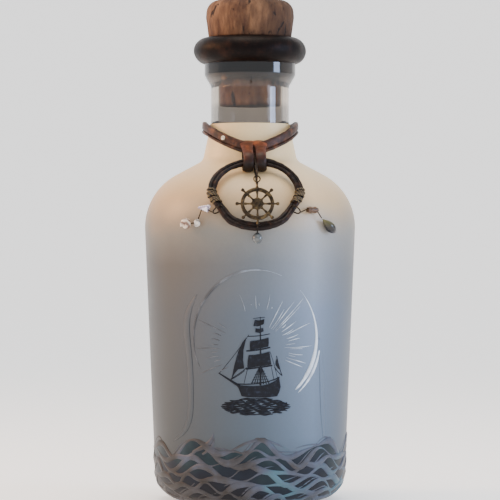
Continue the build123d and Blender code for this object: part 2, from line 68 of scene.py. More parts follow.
def linear(colour):
    """Turns an sRGB hex colour into linear red, green, blue and alpha."""
    shares = [int(colour[i:i + 2], 16) / 255 for i in (1, 3, 5)]
    return tuple(c / 12.92 if c <= 0.04045 else ((c + 0.055) / 1.055) ** 2.4 for c in shares) + (1.0,)


def add(tree, kind, inputs=None, stops=None, **settings):
    """Adds a node with its settings, its ramp stops and its input values or links."""
    node = tree.nodes.new(kind)
    for name, value in settings.items():
        setattr(node, name, value)
    for name, value in (inputs or {}).items():
        if isinstance(value, bpy.types.NodeSocket):
            tree.links.new(value, node.inputs[name])
        else:
            node.inputs[name].default_value = value
    if stops:
        ramp = node.color_ramp
        while len(ramp.elements) < len(stops):
            ramp.elements.new(1.0)
        for element, (place, colour) in zip(ramp.elements, stops):
            element.position = place
            element.color = linear(colour)
    return node


def start_material(name):
    """An empty material with its shader and output, and the Object coordinates."""
    material = bpy.data.materials.new(name)
    material.use_nodes = True
    tree = material.node_tree
    tree.nodes.clear()
    shader = add(tree, "ShaderNodeBsdfPrincipled")
    add(tree, "ShaderNodeOutputMaterial", {"Surface": shader.outputs["BSDF"]})
    place = add(tree, "ShaderNodeTexCoord").outputs["Object"]
    return material, tree, shader, place


# ---------------------------------------------------------------------------
# Materials
# ---------------------------------------------------------------------------

def clear_glass():
    """Soda-lime glass, blown and fire polished: a light smoke tint, paler through the middle of the neck,
    with painted shade that darkens the thick collar.
    """
    material, tree, shader, place = start_material("clear_glass")
    split = add(tree, "ShaderNodeSeparateXYZ", {"Vector": place})
    rise = add(tree, "ShaderNodeMapRange", {"Value": split.outputs["Z"], "From Min": 180 * MM,
                                            "From Max": 206 * MM})
    # Painted shade: from about 198 mm up the collar is darkened to near black, standing in for the ring's
    # dark reflection; below that a light smoke tint.
    smoke_and_collar_shade = add(tree, "ShaderNodeValToRGB", {"Fac": rise.outputs[0]},
                stops=[(0.0, "#9f9890"), (0.24, "#a39b92"), (0.34, "#cfc3b4"), (0.68, "#c4b6a6"),
                       (0.80, "#332c26"), (1.0, "#1e1916")])
    tree.links.new(smoke_and_collar_shade.outputs[0], shader.inputs["Base Color"])
    shader.inputs["Transmission Weight"].default_value = 1.0
    shader.inputs["IOR"].default_value = 1.5
    shader.inputs["Roughness"].default_value = 0.02
    waver = add(tree, "ShaderNodeTexNoise", {"Vector": place, "Scale": 1 / (18 * MM), "Detail": 1.0})
    bump = add(tree, "ShaderNodeBump", {"Height": waver.outputs["Fac"], "Strength": 0.2,
                                        "Distance": 0.4 * MM})
    tree.links.new(bump.outputs["Normal"], shader.inputs["Normal"])
    return material


def frosted_coat(colours):
    """Sprayed frost, satin: sand at the shoulder, sea mist, deep water at the foot; painted shade to the left
    and painted highlight to the right.
    """
    material, tree, shader, place = start_material("frosted_coat")
    cloud = add(tree, "ShaderNodeTexNoise", {"Vector": place, "Scale": 1 / (45 * MM), "Detail": 3.0,
                                             "Roughness": 0.55})
    split = add(tree, "ShaderNodeSeparateXYZ", {"Vector": place})
    wander = add(tree, "ShaderNodeMath", {0: cloud.outputs["Fac"], 1: 16 * MM}, operation="MULTIPLY")
    height = add(tree, "ShaderNodeMath", {0: split.outputs["Z"], 1: wander.outputs[0]}, operation="ADD")
    share = add(tree, "ShaderNodeMapRange", {"Value": height.outputs[0], "From Min": 8 * MM,
                                             "From Max": 188 * MM})
    fade = add(tree, "ShaderNodeValToRGB", {"Fac": share.outputs[0]}, stops=[
        (0.0, colours.deep), (0.085, colours.water), (0.18, colours.mist_low), (0.50, colours.mist),
        (0.70, colours.haze), (0.80, colours.sand), (0.93, colours.cream)])
    # Painted light: the coat darkens and browns to the left, turns paler and bluer to the right and darkens
    # again at the far right edge; it weighs most on the lower body and least at the shoulder.
    across = add(tree, "ShaderNodeMapRange", {"Value": split.outputs["X"], "From Min": -52 * MM,
                                              "From Max": 52 * MM})
    sides = add(tree, "ShaderNodeValToRGB", {"Fac": across.outputs[0]}, stops=[
        (0.0, "#3a2c20"), (0.12, "#584a3e"), (0.26, "#757073"), (0.52, "#8995a8"), (0.76, "#c4d2ee"),
        (1.0, "#4c525c")])
    weight = add(tree, "ShaderNodeMapRange", {"Value": share.outputs[0], "From Min": 0.62,
                                              "From Max": 0.92, "To Min": 0.9, "To Max": 0.25})
    tint = add(tree, "ShaderNodeMix", {0: weight.outputs[0], 6: fade.outputs[0], 7: sides.outputs[0]},
               data_type="RGBA", blend_type="MULTIPLY")
    fine = add(tree, "ShaderNodeTexNoise", {"Vector": place, "Scale": 1 / (1.2 * MM), "Detail": 4.0})
    speck = add(tree, "ShaderNodeMapRange", {"Value": fine.outputs["Fac"], "To Min": 0.94, "To Max": 1.06})
    lit = add(tree, "ShaderNodeMix", {0: 1.0, 6: tint.outputs[2], 7: speck.outputs[0]},
              data_type="RGBA", blend_type="MULTIPLY")
    tree.links.new(lit.outputs[2], shader.inputs["Base Color"])
    rough = add(tree, "ShaderNodeMapRange", {"Value": cloud.outputs["Fac"], "To Min": 0.34, "To Max": 0.5})
    tree.links.new(rough.outputs[0], shader.inputs["Roughness"])
    grain = add(tree, "ShaderNodeBump", {"Height": fine.outputs["Fac"], "Strength": 0.12,
                                         "Distance": 0.05 * MM})
    tree.links.new(grain.outputs["Normal"], shader.inputs["Normal"])
    return material


def raised_line():
    """Moulded line under thin frost: painted shade to the left, painted highlight to the right."""
    material, tree, shader, place = start_material("raised_line")
    split = add(tree, "ShaderNodeSeparateXYZ", {"Vector": place})
    cloud = add(tree, "ShaderNodeTexNoise", {"Vector": place, "Scale": 1 / (7 * MM), "Detail": 3.0})
    # Painted light: dark grey to the left, pale blue-white to the right, broken up by noise.
    across = add(tree, "ShaderNodeMapRange", {"Value": split.outputs["X"], "From Min": -30 * MM,
                                              "From Max": 30 * MM})
    mixed = add(tree, "ShaderNodeMath", {0: cloud.outputs["Fac"], 1: 0.5}, operation="SUBTRACT")
    share = add(tree, "ShaderNodeMath", {0: across.outputs[0], 1: mixed.outputs[0]}, operation="ADD")
    tone = add(tree, "ShaderNodeValToRGB", {"Fac": share.outputs[0]},
               stops=[(0.05, "#3f4145"), (0.35, "#666b72"), (0.62, "#8f9aa8"), (0.90, "#cdd8e4")])
    tree.links.new(tone.outputs[0], shader.inputs["Base Color"])
    shader.inputs["Roughness"].default_value = 0.45
    shader.inputs["Specular IOR Level"].default_value = 0.3
    return material


def navy_enamel():
    """Fired navy enamel, printed: near black, with small pinholes and a satin gloss."""
    material, tree, shader, place = start_material("navy_enamel")
    mottle = add(tree, "ShaderNodeTexNoise", {"Vector": place, "Scale": 1 / (1.6 * MM), "Detail": 4.0})
    tone = add(tree, "ShaderNodeValToRGB", {"Fac": mottle.outputs["Fac"]},
               stops=[(0.30, "#06080f"), (0.58, "#0d111b"), (0.78, "#252c3a")])
    tree.links.new(tone.outputs[0], shader.inputs["Base Color"])
    shader.inputs["Roughness"].default_value = 0.55
    shader.inputs["Specular IOR Level"].default_value = 0.2
    return material


def wave_enamel():
    """Deep water between the crests: dark navy at the foot, teal and grey where it shallows."""
    material, tree, shader, place = start_material("wave_enamel")
    pools = add(tree, "ShaderNodeTexNoise", {"Vector": place, "Scale": 1 / (15 * MM), "Detail": 2.0})
    split = add(tree, "ShaderNodeSeparateXYZ", {"Vector": place})
    rise = add(tree, "ShaderNodeMapRange", {"Value": split.outputs["Z"], "From Min": 2 * MM,
                                            "From Max": 30 * MM, "To Min": -0.22, "To Max": 0.34})
    share = add(tree, "ShaderNodeMath", {0: pools.outputs["Fac"], 1: rise.outputs[0]}, operation="ADD")
    tone = add(tree, "ShaderNodeValToRGB", {"Fac": share.outputs[0]}, stops=[
        (0.20, "#06070d"), (0.40, "#080c18"), (0.54, "#0c1522"), (0.70, "#122229"), (0.90, "#25343b")])
    tree.links.new(tone.outputs[0], shader.inputs["Base Color"])
    shader.inputs["Roughness"].default_value = 0.4
    shader.inputs["Specular IOR Level"].default_value = 0.2
    return material


def wave_crest():
    """Moulded crests, frosted and rubbed: brown grey to lilac and blue in noisy patches, shifted as painted
    shade to the left and painted light to the right.
    """
    material, tree, shader, place = start_material("wave_crest")
    cloud = add(tree, "ShaderNodeTexNoise", {"Vector": place, "Scale": 1 / (16 * MM), "Detail": 4.0})
    split = add(tree, "ShaderNodeSeparateXYZ", {"Vector": place})
    # Painted light: the tone is pushed browner and darker to the left, bluer and lighter to the right.
    across = add(tree, "ShaderNodeMapRange", {"Value": split.outputs["X"], "From Min": -50 * MM,
                                              "From Max": 50 * MM, "To Min": -0.16, "To Max": 0.16})
    share = add(tree, "ShaderNodeMath", {0: cloud.outputs["Fac"], 1: across.outputs[0]}, operation="ADD")
    tone = add(tree, "ShaderNodeValToRGB", {"Fac": share.outputs[0]}, stops=[
        (0.28, "#2b2724"), (0.44, "#3b3a3d"), (0.58, "#454b5a"), (0.74, "#43606c")])
    tree.links.new(tone.outputs[0], shader.inputs["Base Color"])
    shader.inputs["Roughness"].default_value = 0.45
    shader.inputs["Specular IOR Level"].default_value = 0.25
    return material


def natural_cork(lip):
    """Natural cork, punched and sanded: granules, long dark fissures, a pale clean shank below the lip;
    painted light on the left side and painted shade on the right.
    """
    material, tree, shader, place = start_material("natural_cork")
    stretch = add(tree, "ShaderNodeMapping", {"Vector": place, "Scale": (1.0, 1.0, 0.32)})
    grains = add(tree, "ShaderNodeTexVoronoi", {"Vector": stretch.outputs[0], "Scale": 1 / (2.0 * MM)})
    mottle = add(tree, "ShaderNodeTexNoise", {"Vector": stretch.outputs[0], "Scale": 1 / (5.5 * MM),
                                              "Detail": 6.0, "Roughness": 0.65})
    tone = add(tree, "ShaderNodeValToRGB", {"Fac": mottle.outputs["Fac"]}, stops=[
        (0.28, "#2a1a12"), (0.42, "#4a3021"), (0.56, "#62442f"), (0.75, "#866043")])
    cells = add(tree, "ShaderNodeMapRange", {"Value": grains.outputs["Distance"], "To Min": 1.06,
                                             "To Max": 0.8})
    body = add(tree, "ShaderNodeMix", {0: 0.7, 6: tone.outputs[0], 7: cells.outputs[0]},
               data_type="RGBA", blend_type="MULTIPLY")
    veins = add(tree, "ShaderNodeTexNoise", {"Vector": stretch.outputs[0], "Scale": 1 / (3.6 * MM),
                                             "Detail": 3.0, "Distortion": 1.2})
    cut = add(tree, "ShaderNodeValToRGB", {"Fac": veins.outputs["Fac"]},
              stops=[(0.33, "#000000"), (0.40, "#ffffff")])
    fissured = add(tree, "ShaderNodeMix", {0: cut.outputs[0], 6: linear("#24150e"), 7: body.outputs[2]},
                   data_type="RGBA")
    split = add(tree, "ShaderNodeSeparateXYZ", {"Vector": place})
    clean = add(tree, "ShaderNodeMapRange", {"Value": split.outputs["Z"], "From Min": lip - 1.0 * MM,
                                             "From Max": lip, "To Min": 3.0, "To Max": 1.0})
    # Painted light: lighter to the left and darker to the right across the cork's X.
    painted_side_light = add(tree, "ShaderNodeMapRange", {"Value": split.outputs["X"], "From Min": -16 * MM,
                                               "From Max": 14 * MM, "To Min": 1.25, "To Max": 0.55})
    shank_and_side_light = add(tree, "ShaderNodeMath", {0: clean.outputs[0], 1: painted_side_light.outputs[0]}, operation="MULTIPLY")
    lit_cork_colour = add(tree, "ShaderNodeMix", {0: 1.0, 6: fissured.outputs[2], 7: shank_and_side_light.outputs[0]},
               data_type="RGBA", blend_type="MULTIPLY")
    tree.links.new(lit_cork_colour.outputs[2], shader.inputs["Base Color"])
    shader.inputs["Roughness"].default_value = 0.85
    shader.inputs["Specular IOR Level"].default_value = 0.3
    both = add(tree, "ShaderNodeMath", {0: cut.outputs[0], 1: grains.outputs["Distance"]},
               operation="SUBTRACT")
    relief = add(tree, "ShaderNodeBump", {"Height": both.outputs[0], "Strength": 0.6,
                                          "Distance": 0.35 * MM})
    tree.links.new(relief.outputs["Normal"], shader.inputs["Normal"])
    return material


def hide(name, dark, middle, light, gloss, crease=2.2, shine=0.25, fade=None):
    """Waxed leather: pebbled grain, dark creases, paler rubs; fade is two heights between which painted shade
    darkens it downward.
    """
    material, tree, shader, place = start_material(name)
    shader.inputs["Specular IOR Level"].default_value = shine
    grain = add(tree, "ShaderNodeTexVoronoi", {"Vector": place, "Scale": 1 / (0.55 * MM)})
    creases = add(tree, "ShaderNodeTexNoise", {"Vector": place, "Scale": 1 / (crease * MM), "Detail": 5.0,
                                               "Roughness": 0.6})
    tone = add(tree, "ShaderNodeValToRGB", {"Fac": creases.outputs["Fac"]},
               stops=[(0.30, dark), (0.52, middle), (0.72, light)])
    colour = tone.outputs[0]
    if fade:
        # Painted shade: darker downward between the fade heights, nearly black below them.
        split = add(tree, "ShaderNodeSeparateXYZ", {"Vector": place})
        shaded_below = add(tree, "ShaderNodeMapRange", {"Value": split.outputs["Z"], "From Min": fade[0],
                                                "From Max": fade[1], "To Min": 0.06, "To Max": 1.0})
        colour = add(tree, "ShaderNodeMix", {0: 1.0, 6: colour, 7: shaded_below.outputs[0]}, data_type="RGBA",
                     blend_type="MULTIPLY").outputs[2]
    tree.links.new(colour, shader.inputs["Base Color"])
    rough = add(tree, "ShaderNodeMapRange", {"Value": creases.outputs["Fac"], "To Min": gloss + 0.12,
                                             "To Max": gloss - 0.08})
    tree.links.new(rough.outputs[0], shader.inputs["Roughness"])
    height = add(tree, "ShaderNodeMath", {0: creases.outputs["Fac"], 1: grain.outputs["Distance"]},
                 operation="ADD")
    relief = add(tree, "ShaderNodeBump", {"Height": height.outputs[0], "Strength": 0.4,
                                          "Distance": 0.2 * MM})
    tree.links.new(relief.outputs["Normal"], shader.inputs["Normal"])
    return material


def aged_bronze(name="aged_bronze", dark="#1c1711", middle="#3b3022", light="#6c5a3c"):
    """Cast bronze, antiqued: brown-green metal, nearly black in the hollows, rubbed bright on edges."""
    material, tree, shader, place = start_material(name)
    patina = add(tree, "ShaderNodeTexNoise", {"Vector": place, "Scale": 1 / (2.2 * MM), "Detail": 5.0})
    tone = add(tree, "ShaderNodeValToRGB", {"Fac": patina.outputs["Fac"]}, stops=[
        (0.30, dark), (0.50, middle), (0.68, light)])
    tree.links.new(tone.outputs[0], shader.inputs["Base Color"])
    shader.inputs["Metallic"].default_value = 0.85
    rough = add(tree, "ShaderNodeMapRange", {"Value": patina.outputs["Fac"], "To Min": 0.6, "To Max": 0.36})
    tree.links.new(rough.outputs[0], shader.inputs["Roughness"])
    relief = add(tree, "ShaderNodeBump", {"Height": patina.outputs["Fac"], "Strength": 0.3,
                                          "Distance": 0.15 * MM})
    tree.links.new(relief.outputs["Normal"], shader.inputs["Normal"])
    return material


def waxed_twine():
    """Waxed twine, twisted: olive brown with fine slanting fibres."""
    material, tree, shader, place = start_material("waxed_twine")
    fibres = add(tree, "ShaderNodeTexWave", {"Vector": place, "Scale": 1 / (2.0 * MM), "Distortion": 3.0,
                                             "Detail": 2.0}, bands_direction="DIAGONAL")
    tone = add(tree, "ShaderNodeValToRGB", {"Fac": fibres.outputs["Fac"]}, stops=[
        (0.1, "#1a130c"), (0.5, "#3b2d1b"), (0.9, "#66532f")])
    tree.links.new(tone.outputs[0], shader.inputs["Base Color"])
    shader.inputs["Roughness"].default_value = 0.6
    relief = add(tree, "ShaderNodeBump", {"Height": fibres.outputs["Fac"], "Strength": 0.5,
                                          "Distance": 0.1 * MM})
    tree.links.new(relief.outputs["Normal"], shader.inputs["Normal"])
    return material


def shell(name, dark, middle, light):
    """Polished shell: growth bands of close tones under a clear natural gloss."""
    material, tree, shader, place = start_material(name)
    bands = add(tree, "ShaderNodeTexWave", {"Vector": place, "Scale": 1 / (4.5 * MM), "Distortion": 5.0,
                                            "Detail": 3.0}, bands_direction="DIAGONAL")
    tone = add(tree, "ShaderNodeValToRGB", {"Fac": bands.outputs["Fac"]},
               stops=[(0.1, dark), (0.45, middle), (0.85, light)])
    tree.links.new(tone.outputs[0], shader.inputs["Base Color"])
    shader.inputs["Roughness"].default_value = 0.28
    shader.inputs["Coat Weight"].default_value = 0.5
    relief = add(tree, "ShaderNodeBump", {"Height": bands.outputs["Fac"], "Strength": 0.15,
                                          "Distance": 0.1 * MM})
    tree.links.new(relief.outputs["Normal"], shader.inputs["Normal"])
    return material


def turned_wood():
    """Dark hardwood, turned and oiled: rings of grain with a low gloss."""
    material, tree, shader, place = start_material("turned_wood")
    rings = add(tree, "ShaderNodeTexWave", {"Vector": place, "Scale": 1 / (3.0 * MM), "Distortion": 4.0,
                                            "Detail": 3.0}, bands_direction="Z")
    tone = add(tree, "ShaderNodeValToRGB", {"Fac": rings.outputs["Fac"]}, stops=[
        (0.1, "#24150a"), (0.5, "#432a18"), (0.9, "#654528")])
    tree.links.new(tone.outputs[0], shader.inputs["Base Color"])
    shader.inputs["Roughness"].default_value = 0.45
    return material


def tinted_drop(low, high):
    """Dyed glass, lampworked: olive at its tip running into navy at its round end."""
    material, tree, shader, place = start_material("tinted_drop")
    height = add(tree, "ShaderNodeSeparateXYZ", {"Vector": place})
    share = add(tree, "ShaderNodeMapRange", {"Value": height.outputs["Z"], "From Min": low, "From Max": high})
    swirl = add(tree, "ShaderNodeTexNoise", {"Vector": place, "Scale": 1 / (4 * MM), "Detail": 2.0})
    mixed = add(tree, "ShaderNodeMath", {0: swirl.outputs["Fac"], 1: 0.3}, operation="MULTIPLY")
    place_in = add(tree, "ShaderNodeMath", {0: share.outputs[0], 1: mixed.outputs[0]}, operation="ADD")
    tone = add(tree, "ShaderNodeValToRGB", {"Fac": place_in.outputs[0]}, stops=[
        (0.15, "#10121d"), (0.55, "#2a2926"), (1.0, "#57522f")])
    tree.links.new(tone.outputs[0], shader.inputs["Base Color"])
    shader.inputs["Roughness"].default_value = 0.15
    shader.inputs["Specular IOR Level"].default_value = 0.35
    return material


def smoke_glass():
    """Smoke grey glass, moulded: cloudy, with a wet gloss."""
    material, tree, shader, place = start_material("smoke_glass")
    swirl = add(tree, "ShaderNodeTexNoise", {"Vector": place, "Scale": 1 / (3 * MM), "Detail": 3.0})
    tone = add(tree, "ShaderNodeValToRGB", {"Fac": swirl.outputs["Fac"]}, stops=[
        (0.3, "#393c3c"), (0.55, "#606566"), (0.75, "#8d9495")])
    tree.links.new(tone.outputs[0], shader.inputs["Base Color"])
    shader.inputs["Roughness"].default_value = 0.1
    shader.inputs["Transmission Weight"].default_value = 0.2
    return material


# ---------------------------------------------------------------------------
# Shape helpers
# ---------------------------------------------------------------------------

def finished(name, bm, material, body, replaced=(), smooth=40.0):
    """Makes the object of a mesh, gives it its material and says where it rides."""
    mesh = bpy.data.meshes.new(name)
    bm.to_mesh(mesh)
    bm.free()
    mesh.materials.append(material)
    mesh.shade_smooth()
    if smooth < 180:
        mesh.set_sharp_from_angle(angle=math.radians(smooth))
    piece = bpy.data.objects.new(name, mesh)
    bpy.context.scene.collection.objects.link(piece)
    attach(piece, body)
    if replaced:
        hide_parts(*replaced)
    return piece


def rounded(points, rounds, steps=10):
    """The outline through the points with each inner corner rounded to its radius."""
    line = [Vector(points[0])]
    for before, corner, after, radius in zip(points, points[1:], points[2:], rounds):
        corner = Vector(corner)
        back, on = (Vector(before) - corner).normalized(), (Vector(after) - corner).normalized()
        half = back.angle(on) / 2
        if radius <= 0 or half > math.radians(89.8):
            line.append(corner)
            continue
        reach = radius / math.tan(half)
        centre = corner + (back + on).normalized() * (radius / math.sin(half))
        first, last = corner + back * reach - centre, corner + on * reach - centre
        sweep = first.angle_signed(last)
        for step in range(steps + 1):
            spot = first.copy()
            spot.rotate(Matrix.Rotation(-sweep * step / steps, 2))
            line.append(centre + spot)
    line.append(Vector(points[-1]))
    return line


def spun(line, steps=96, closed=False):
    """Spins a half outline of radius and height about Z."""
    bm = bmesh.new()
    verts = [bm.verts.new((point[0], 0, point[1])) for point in line]
    pairs = list(zip(verts, verts[1:]))
    if closed:
        pairs.append((verts[-1], verts[0]))
    edges = [bm.edges.new(pair) for pair in pairs]
    bmesh.ops.spin(bm, geom=verts + edges, cent=(0, 0, 0), axis=(0, 0, 1), angle=TURN, steps=steps,
                   use_merge=True)
    bmesh.ops.remove_doubles(bm, verts=bm.verts, dist=1e-7)
    bmesh.ops.dissolve_degenerate(bm, edges=bm.edges, dist=1e-8)
    bmesh.ops.recalc_face_normals(bm, faces=bm.faces)
    return bm


def aimed(start, way):
    """The matrix that puts the origin at start and Z along way."""
    turn = Vector((0, 0, 1)).rotation_difference(Vector(way).normalized())
    return Matrix.Translation(Vector(start)) @ turn.to_matrix().to_4x4()


def moved(bm, matrix):
    """The mesh, put where a matrix says."""
    bmesh.ops.transform(bm, matrix=matrix, verts=bm.verts)
    return bm


def joined(parts):
    """One mesh of several."""
    bm = bmesh.new()
    for part in parts:
        mesh = bpy.data.meshes.new("part")
        part.to_mesh(mesh)
        part.free()
        bm.from_mesh(mesh)
        bpy.data.meshes.remove(mesh)
    return bm


def swept(lines, width, closed=False, sides=3, kind="NURBS"):
    """A round mesh along each line of points, each of them a place and its share of the width."""
    curve = bpy.data.curves.new("sweep", "CURVE")
    curve.dimensions = "3D"
    curve.twist_mode = "MINIMUM"
    curve.bevel_depth = width / 2
    curve.bevel_resolution = sides
    curve.use_fill_caps = not closed
    curve.resolution_u = 6
    for line in lines:
        spline = curve.splines.new(kind)
        spline.points.add(len(line) - 1)
        for point, (place, share) in zip(spline.points, line):
            point.co = (*place, 1.0)
            point.radius = share
        spline.order_u = 4
        spline.use_cyclic_u = closed
        spline.use_endpoint_u = not closed
    holder = bpy.data.objects.new("sweep", curve)
    mesh = bpy.data.meshes.new_from_object(holder)
    bm = bmesh.new()
    bm.from_mesh(mesh)
    bpy.data.objects.remove(holder)
    bpy.data.curves.remove(curve)
    bpy.data.meshes.remove(mesh)
    bmesh.ops.remove_doubles(bm, verts=bm.verts, dist=1e-8)
    bmesh.ops.recalc_face_normals(bm, faces=bm.faces)
    return bm


def lofted(rings):
    """A closed tube through closed rings of points."""
    bm = bmesh.new()
    made = [[bm.verts.new(point) for point in ring] for ring in rings]
    for ring, after in zip(made, made[1:] + made[:1]):
        for index in range(len(ring)):
            on = (index + 1) % len(ring)
            bm.faces.new((ring[index], ring[on], after[on], after[index]))
    bmesh.ops.recalc_face_normals(bm, faces=bm.faces)
    return bm


def smooth_step(share):
    """Runs smoothly from 0 to 1 as the share does."""
    share = max(0.0, min(1.0, share))
    return share * share * (3 - 2 * share)


def soft_box(half_wide, half_tall, count=20, power=0.5):
    """Points round a rectangle with soft corners."""
    points = []
    for step in range(count):
        angle = TURN * step / count
        across, up = math.cos(angle), math.sin(angle)
        points.append((math.copysign(abs(across) ** power, across) * half_wide,
                       math.copysign(abs(up) ** power, up) * half_tall))
    return points


# ---------------------------------------------------------------------------
# The bottle's outline, shared by what lies on it
# ---------------------------------------------------------------------------

def glass_corners(sizes):
    """Corners and rounds of the glass outside, from the foot to the collar's top."""
    lip = cad_lip_height()
    collar_full = lip - sizes.collar_height
    collar_foot = collar_full - sizes.collar_slope
    corners = [
        (sizes.foot_radius - sizes.foot_round, 0),
        (sizes.foot_radius, 0),
        (sizes.shoulder_radius, sizes.shoulder_height),
        (sizes.neck_root_radius, sizes.neck_root_height),
        (sizes.neck_radius, sizes.neck_taper_height),
        (sizes.neck_radius, collar_foot),
        (sizes.collar_radius, collar_full),
        (sizes.collar_radius, lip),
    ]
    rounds = [sizes.foot_round - 0.01 * MM, sizes.shoulder_round, sizes.neck_root_round,
              sizes.neck_taper_round, sizes.collar_round, sizes.collar_round]
    return corners, rounds


def cad_lip_height():
    """Height of the glass lip, from the frame."""
    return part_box("glass_bottle")[1][2]


def outside_line(sizes, grow=0.0, steps=14):
    """The outside outline, grown by an amount."""
    corners, rounds = glass_corners(sizes)
    line = rounded(corners, rounds, steps)
    grown = []
    for index, point in enumerate(line):
        before, after = line[max(index - 1, 0)], line[min(index + 1, len(line) - 1)]
        run = (after - before).normalized()
        grown.append(point + Vector((run.y, -run.x)) * grow)
    return grown


def radius_at(line, height):
    """The outline's radius at a height."""
    for low, high in zip(line, line[1:]):
        if low.y <= height <= high.y and high.y > low.y:
            share = (height - low.y) / (high.y - low.y)
            return low.x + (high.x - low.x) * share
    return line[0].x


def laid_on_body(bm, sizes, around=False):
    """Lays a flat mesh on the coat: X and Z place it, Y is how far it stands off the coat."""
    line = outside_line(sizes, sizes.coat_thickness, 40)
    middle = sizes.foot_radius
    for vert in bm.verts:
        radius = radius_at(line, vert.co.z)
        angle = vert.co.x / middle if around else math.asin(max(-1, min(1, vert.co.x / radius)))
        reach = radius + vert.co.y
        vert.co = Vector((reach * math.sin(angle), -reach * math.cos(angle), vert.co.z))
    bmesh.ops.remove_doubles(bm, verts=bm.verts, dist=1e-7)
    bmesh.ops.recalc_face_normals(bm, faces=bm.faces)
    return bm


def strokes(lines, width, height, closed=False, sides=2, kind="NURBS"):
    """Flat drawn strokes, rounded on top: points are (x, z, share of the width)."""
    routes = [[((x, 0, z), share) for x, z, share in line] for line in lines]
    bm = swept(routes, width, closed, sides=sides, kind=kind)
    for vert in bm.verts:
        vert.co.y = -vert.co.y * height / (width / 2)
    return bm


def drawn(name, lines, width, height, material, node, smooth=40.0):
    """Makes a piece of strokes laid on the coat."""
    sizes = bpy.context.scene.bottle_sizes
    bm = laid_on_body(strokes(lines, width, height), sizes)
    return finished(name, bm, material, "bottle", [node], smooth)


def plates(outlines, height, grid=2.4 * MM):
    """Flat plates of the given height, cut into small faces so that they can bend."""
    parts = []
    for outline in outlines:
        bm = bmesh.new()
        bm.faces.new([bm.verts.new((x, 0, z)) for x, z in outline])
        low, high = min(x for x, z in outline), max(x for x, z in outline)
        place = low + grid
        while place < high:
            bmesh.ops.bisect_plane(bm, geom=bm.verts[:] + bm.edges[:] + bm.faces[:], dist=1e-7,
                                   plane_co=(place, 0, 0), plane_no=(1, 0, 0))
            place += grid
        up = bmesh.ops.extrude_face_region(bm, geom=bm.faces[:])
        verts = [item for item in up["geom"] if isinstance(item, bmesh.types.BMVert)]
        bmesh.ops.translate(bm, vec=(0, height, 0), verts=verts)
        bmesh.ops.recalc_face_normals(bm, faces=bm.faces)
        parts.append(bm)
    return joined(parts)


def roughened(bm, size, grain, seed=0.0):
    """Moves each point a little along its normal, as hand work leaves it."""
    bm.normal_update()
    shifts = [noise.noise(vert.co / grain + Vector((seed, seed, seed))) * size for vert in bm.verts]
    for vert, shift in zip(bm.verts, shifts):
        vert.co += vert.normal * shift
    return bm


# ---------------------------------------------------------------------------
# Sizes and colours
# ---------------------------------------------------------------------------

def length(name, description, size):
    return bpy.props.FloatProperty(name=name, description=description, default=size * MM, unit="LENGTH",
                                   precision=5)


class BottleSizes(bpy.types.PropertyGroup):
    """Sizes of the glass and what is moulded on it."""
    foot_radius: length("Foot radius", "Where the wall would meet the floor", 44.4)
    foot_round: length("Foot round", "Radius of the rounded foot", 14.3)
    shoulder_radius: length("Shoulder radius", "Where the wall would meet the shoulder", 50.44)
    shoulder_height: length("Shoulder height", "Height of that corner", 145.8)
    shoulder_round: length("Shoulder round", "Radius of the shoulder", 28.0)
    neck_root_radius: length("Neck root radius", "Where the shoulder meets the neck", 22.2)
    neck_root_height: length("Neck root height", "Height of that corner", 160.9)
    neck_root_round: length("Neck root round", "Radius at the neck's root", 5.0)
    neck_radius: length("Neck radius", "Radius of the straight neck", 18.6)
    neck_taper_height: length("Neck taper height", "Where the neck becomes straight", 177.9)
    neck_taper_round: length("Neck taper round", "Radius of that bend", 30.0)
    collar_radius: length("Collar radius", "Radius of the collar", 21.7)
    collar_slope: length("Collar slope", "Height of the slope under the collar", 5.4)
    collar_height: length("Collar height", "Height of the collar up to the lip", 18.1)
    collar_round: length("Collar round", "Radius of the collar's corners", 3.0)
    bore_radius: length("Bore radius", "Radius of the neck's bore", 15.2)
    body_wall: length("Body wall", "Thickness of the glass wall", 3.2)
    foot_thickness: length("Foot thickness", "Thickness of the glass foot", 6.0)
    coat_thickness: length("Coat thickness", "Thickness of the frosted coat", 0.3)
    coat_top: length("Coat top", "Height where the frost ends", 178.5)
    relief: length("Relief", "How far the raised lines stand off the coat", 0.4)


class PictureSizes(bpy.types.PropertyGroup):
    """Places and sizes of the ship picture."""
    ring_height: length("Ring height", "Height of the ring's middle", 78.1)
    ring_half_width: length("Ring half width", "Half the ring's width", 28.6)
    ring_half_height: length("Ring half height", "Half the ring's height", 31.4)
    ship_height: length("Ship height", "Height of the ship's waterline", 51.0)
    ship_offset: length("Ship offset", "How far the ship sits from the middle", 0.8)
    ship_scale: bpy.props.FloatProperty(name="Ship scale", description="Size of the ship", default=0.96,
                                        min=0.5, max=1.3)
    rays_height: length("Rays height", "Height that the rays spread from", 73.0)
    waves: bpy.props.IntProperty(name="Waves", description="Waves in each row round the foot", default=15,
                                 min=8, max=30)


class Colours(bpy.types.PropertyGroup):
    """Colours of the frosted coat, from the foot up, as sRGB hex values."""
    deep: bpy.props.StringProperty(name="Deep", description="Coat at the foot", default="#16191c")
    water: bpy.props.StringProperty(name="Water", description="Coat at the waves", default="#3b4950")
    mist_low: bpy.props.StringProperty(name="Low mist", description="Coat above the waves", default="#64757f")
    mist: bpy.props.StringProperty(name="Mist", description="Coat behind the ship", default="#818d96")
    haze: bpy.props.StringProperty(name="Haze", description="Coat below the shoulder", default="#aaa598")
    sand: bpy.props.StringProperty(name="Sand", description="Coat on the shoulder", default="#e6c08c")
    cream: bpy.props.StringProperty(name="Cream", description="Coat at the neck", default="#fbdca4")


# ---------------------------------------------------------------------------
# Operators: bottle
# ---------------------------------------------------------------------------

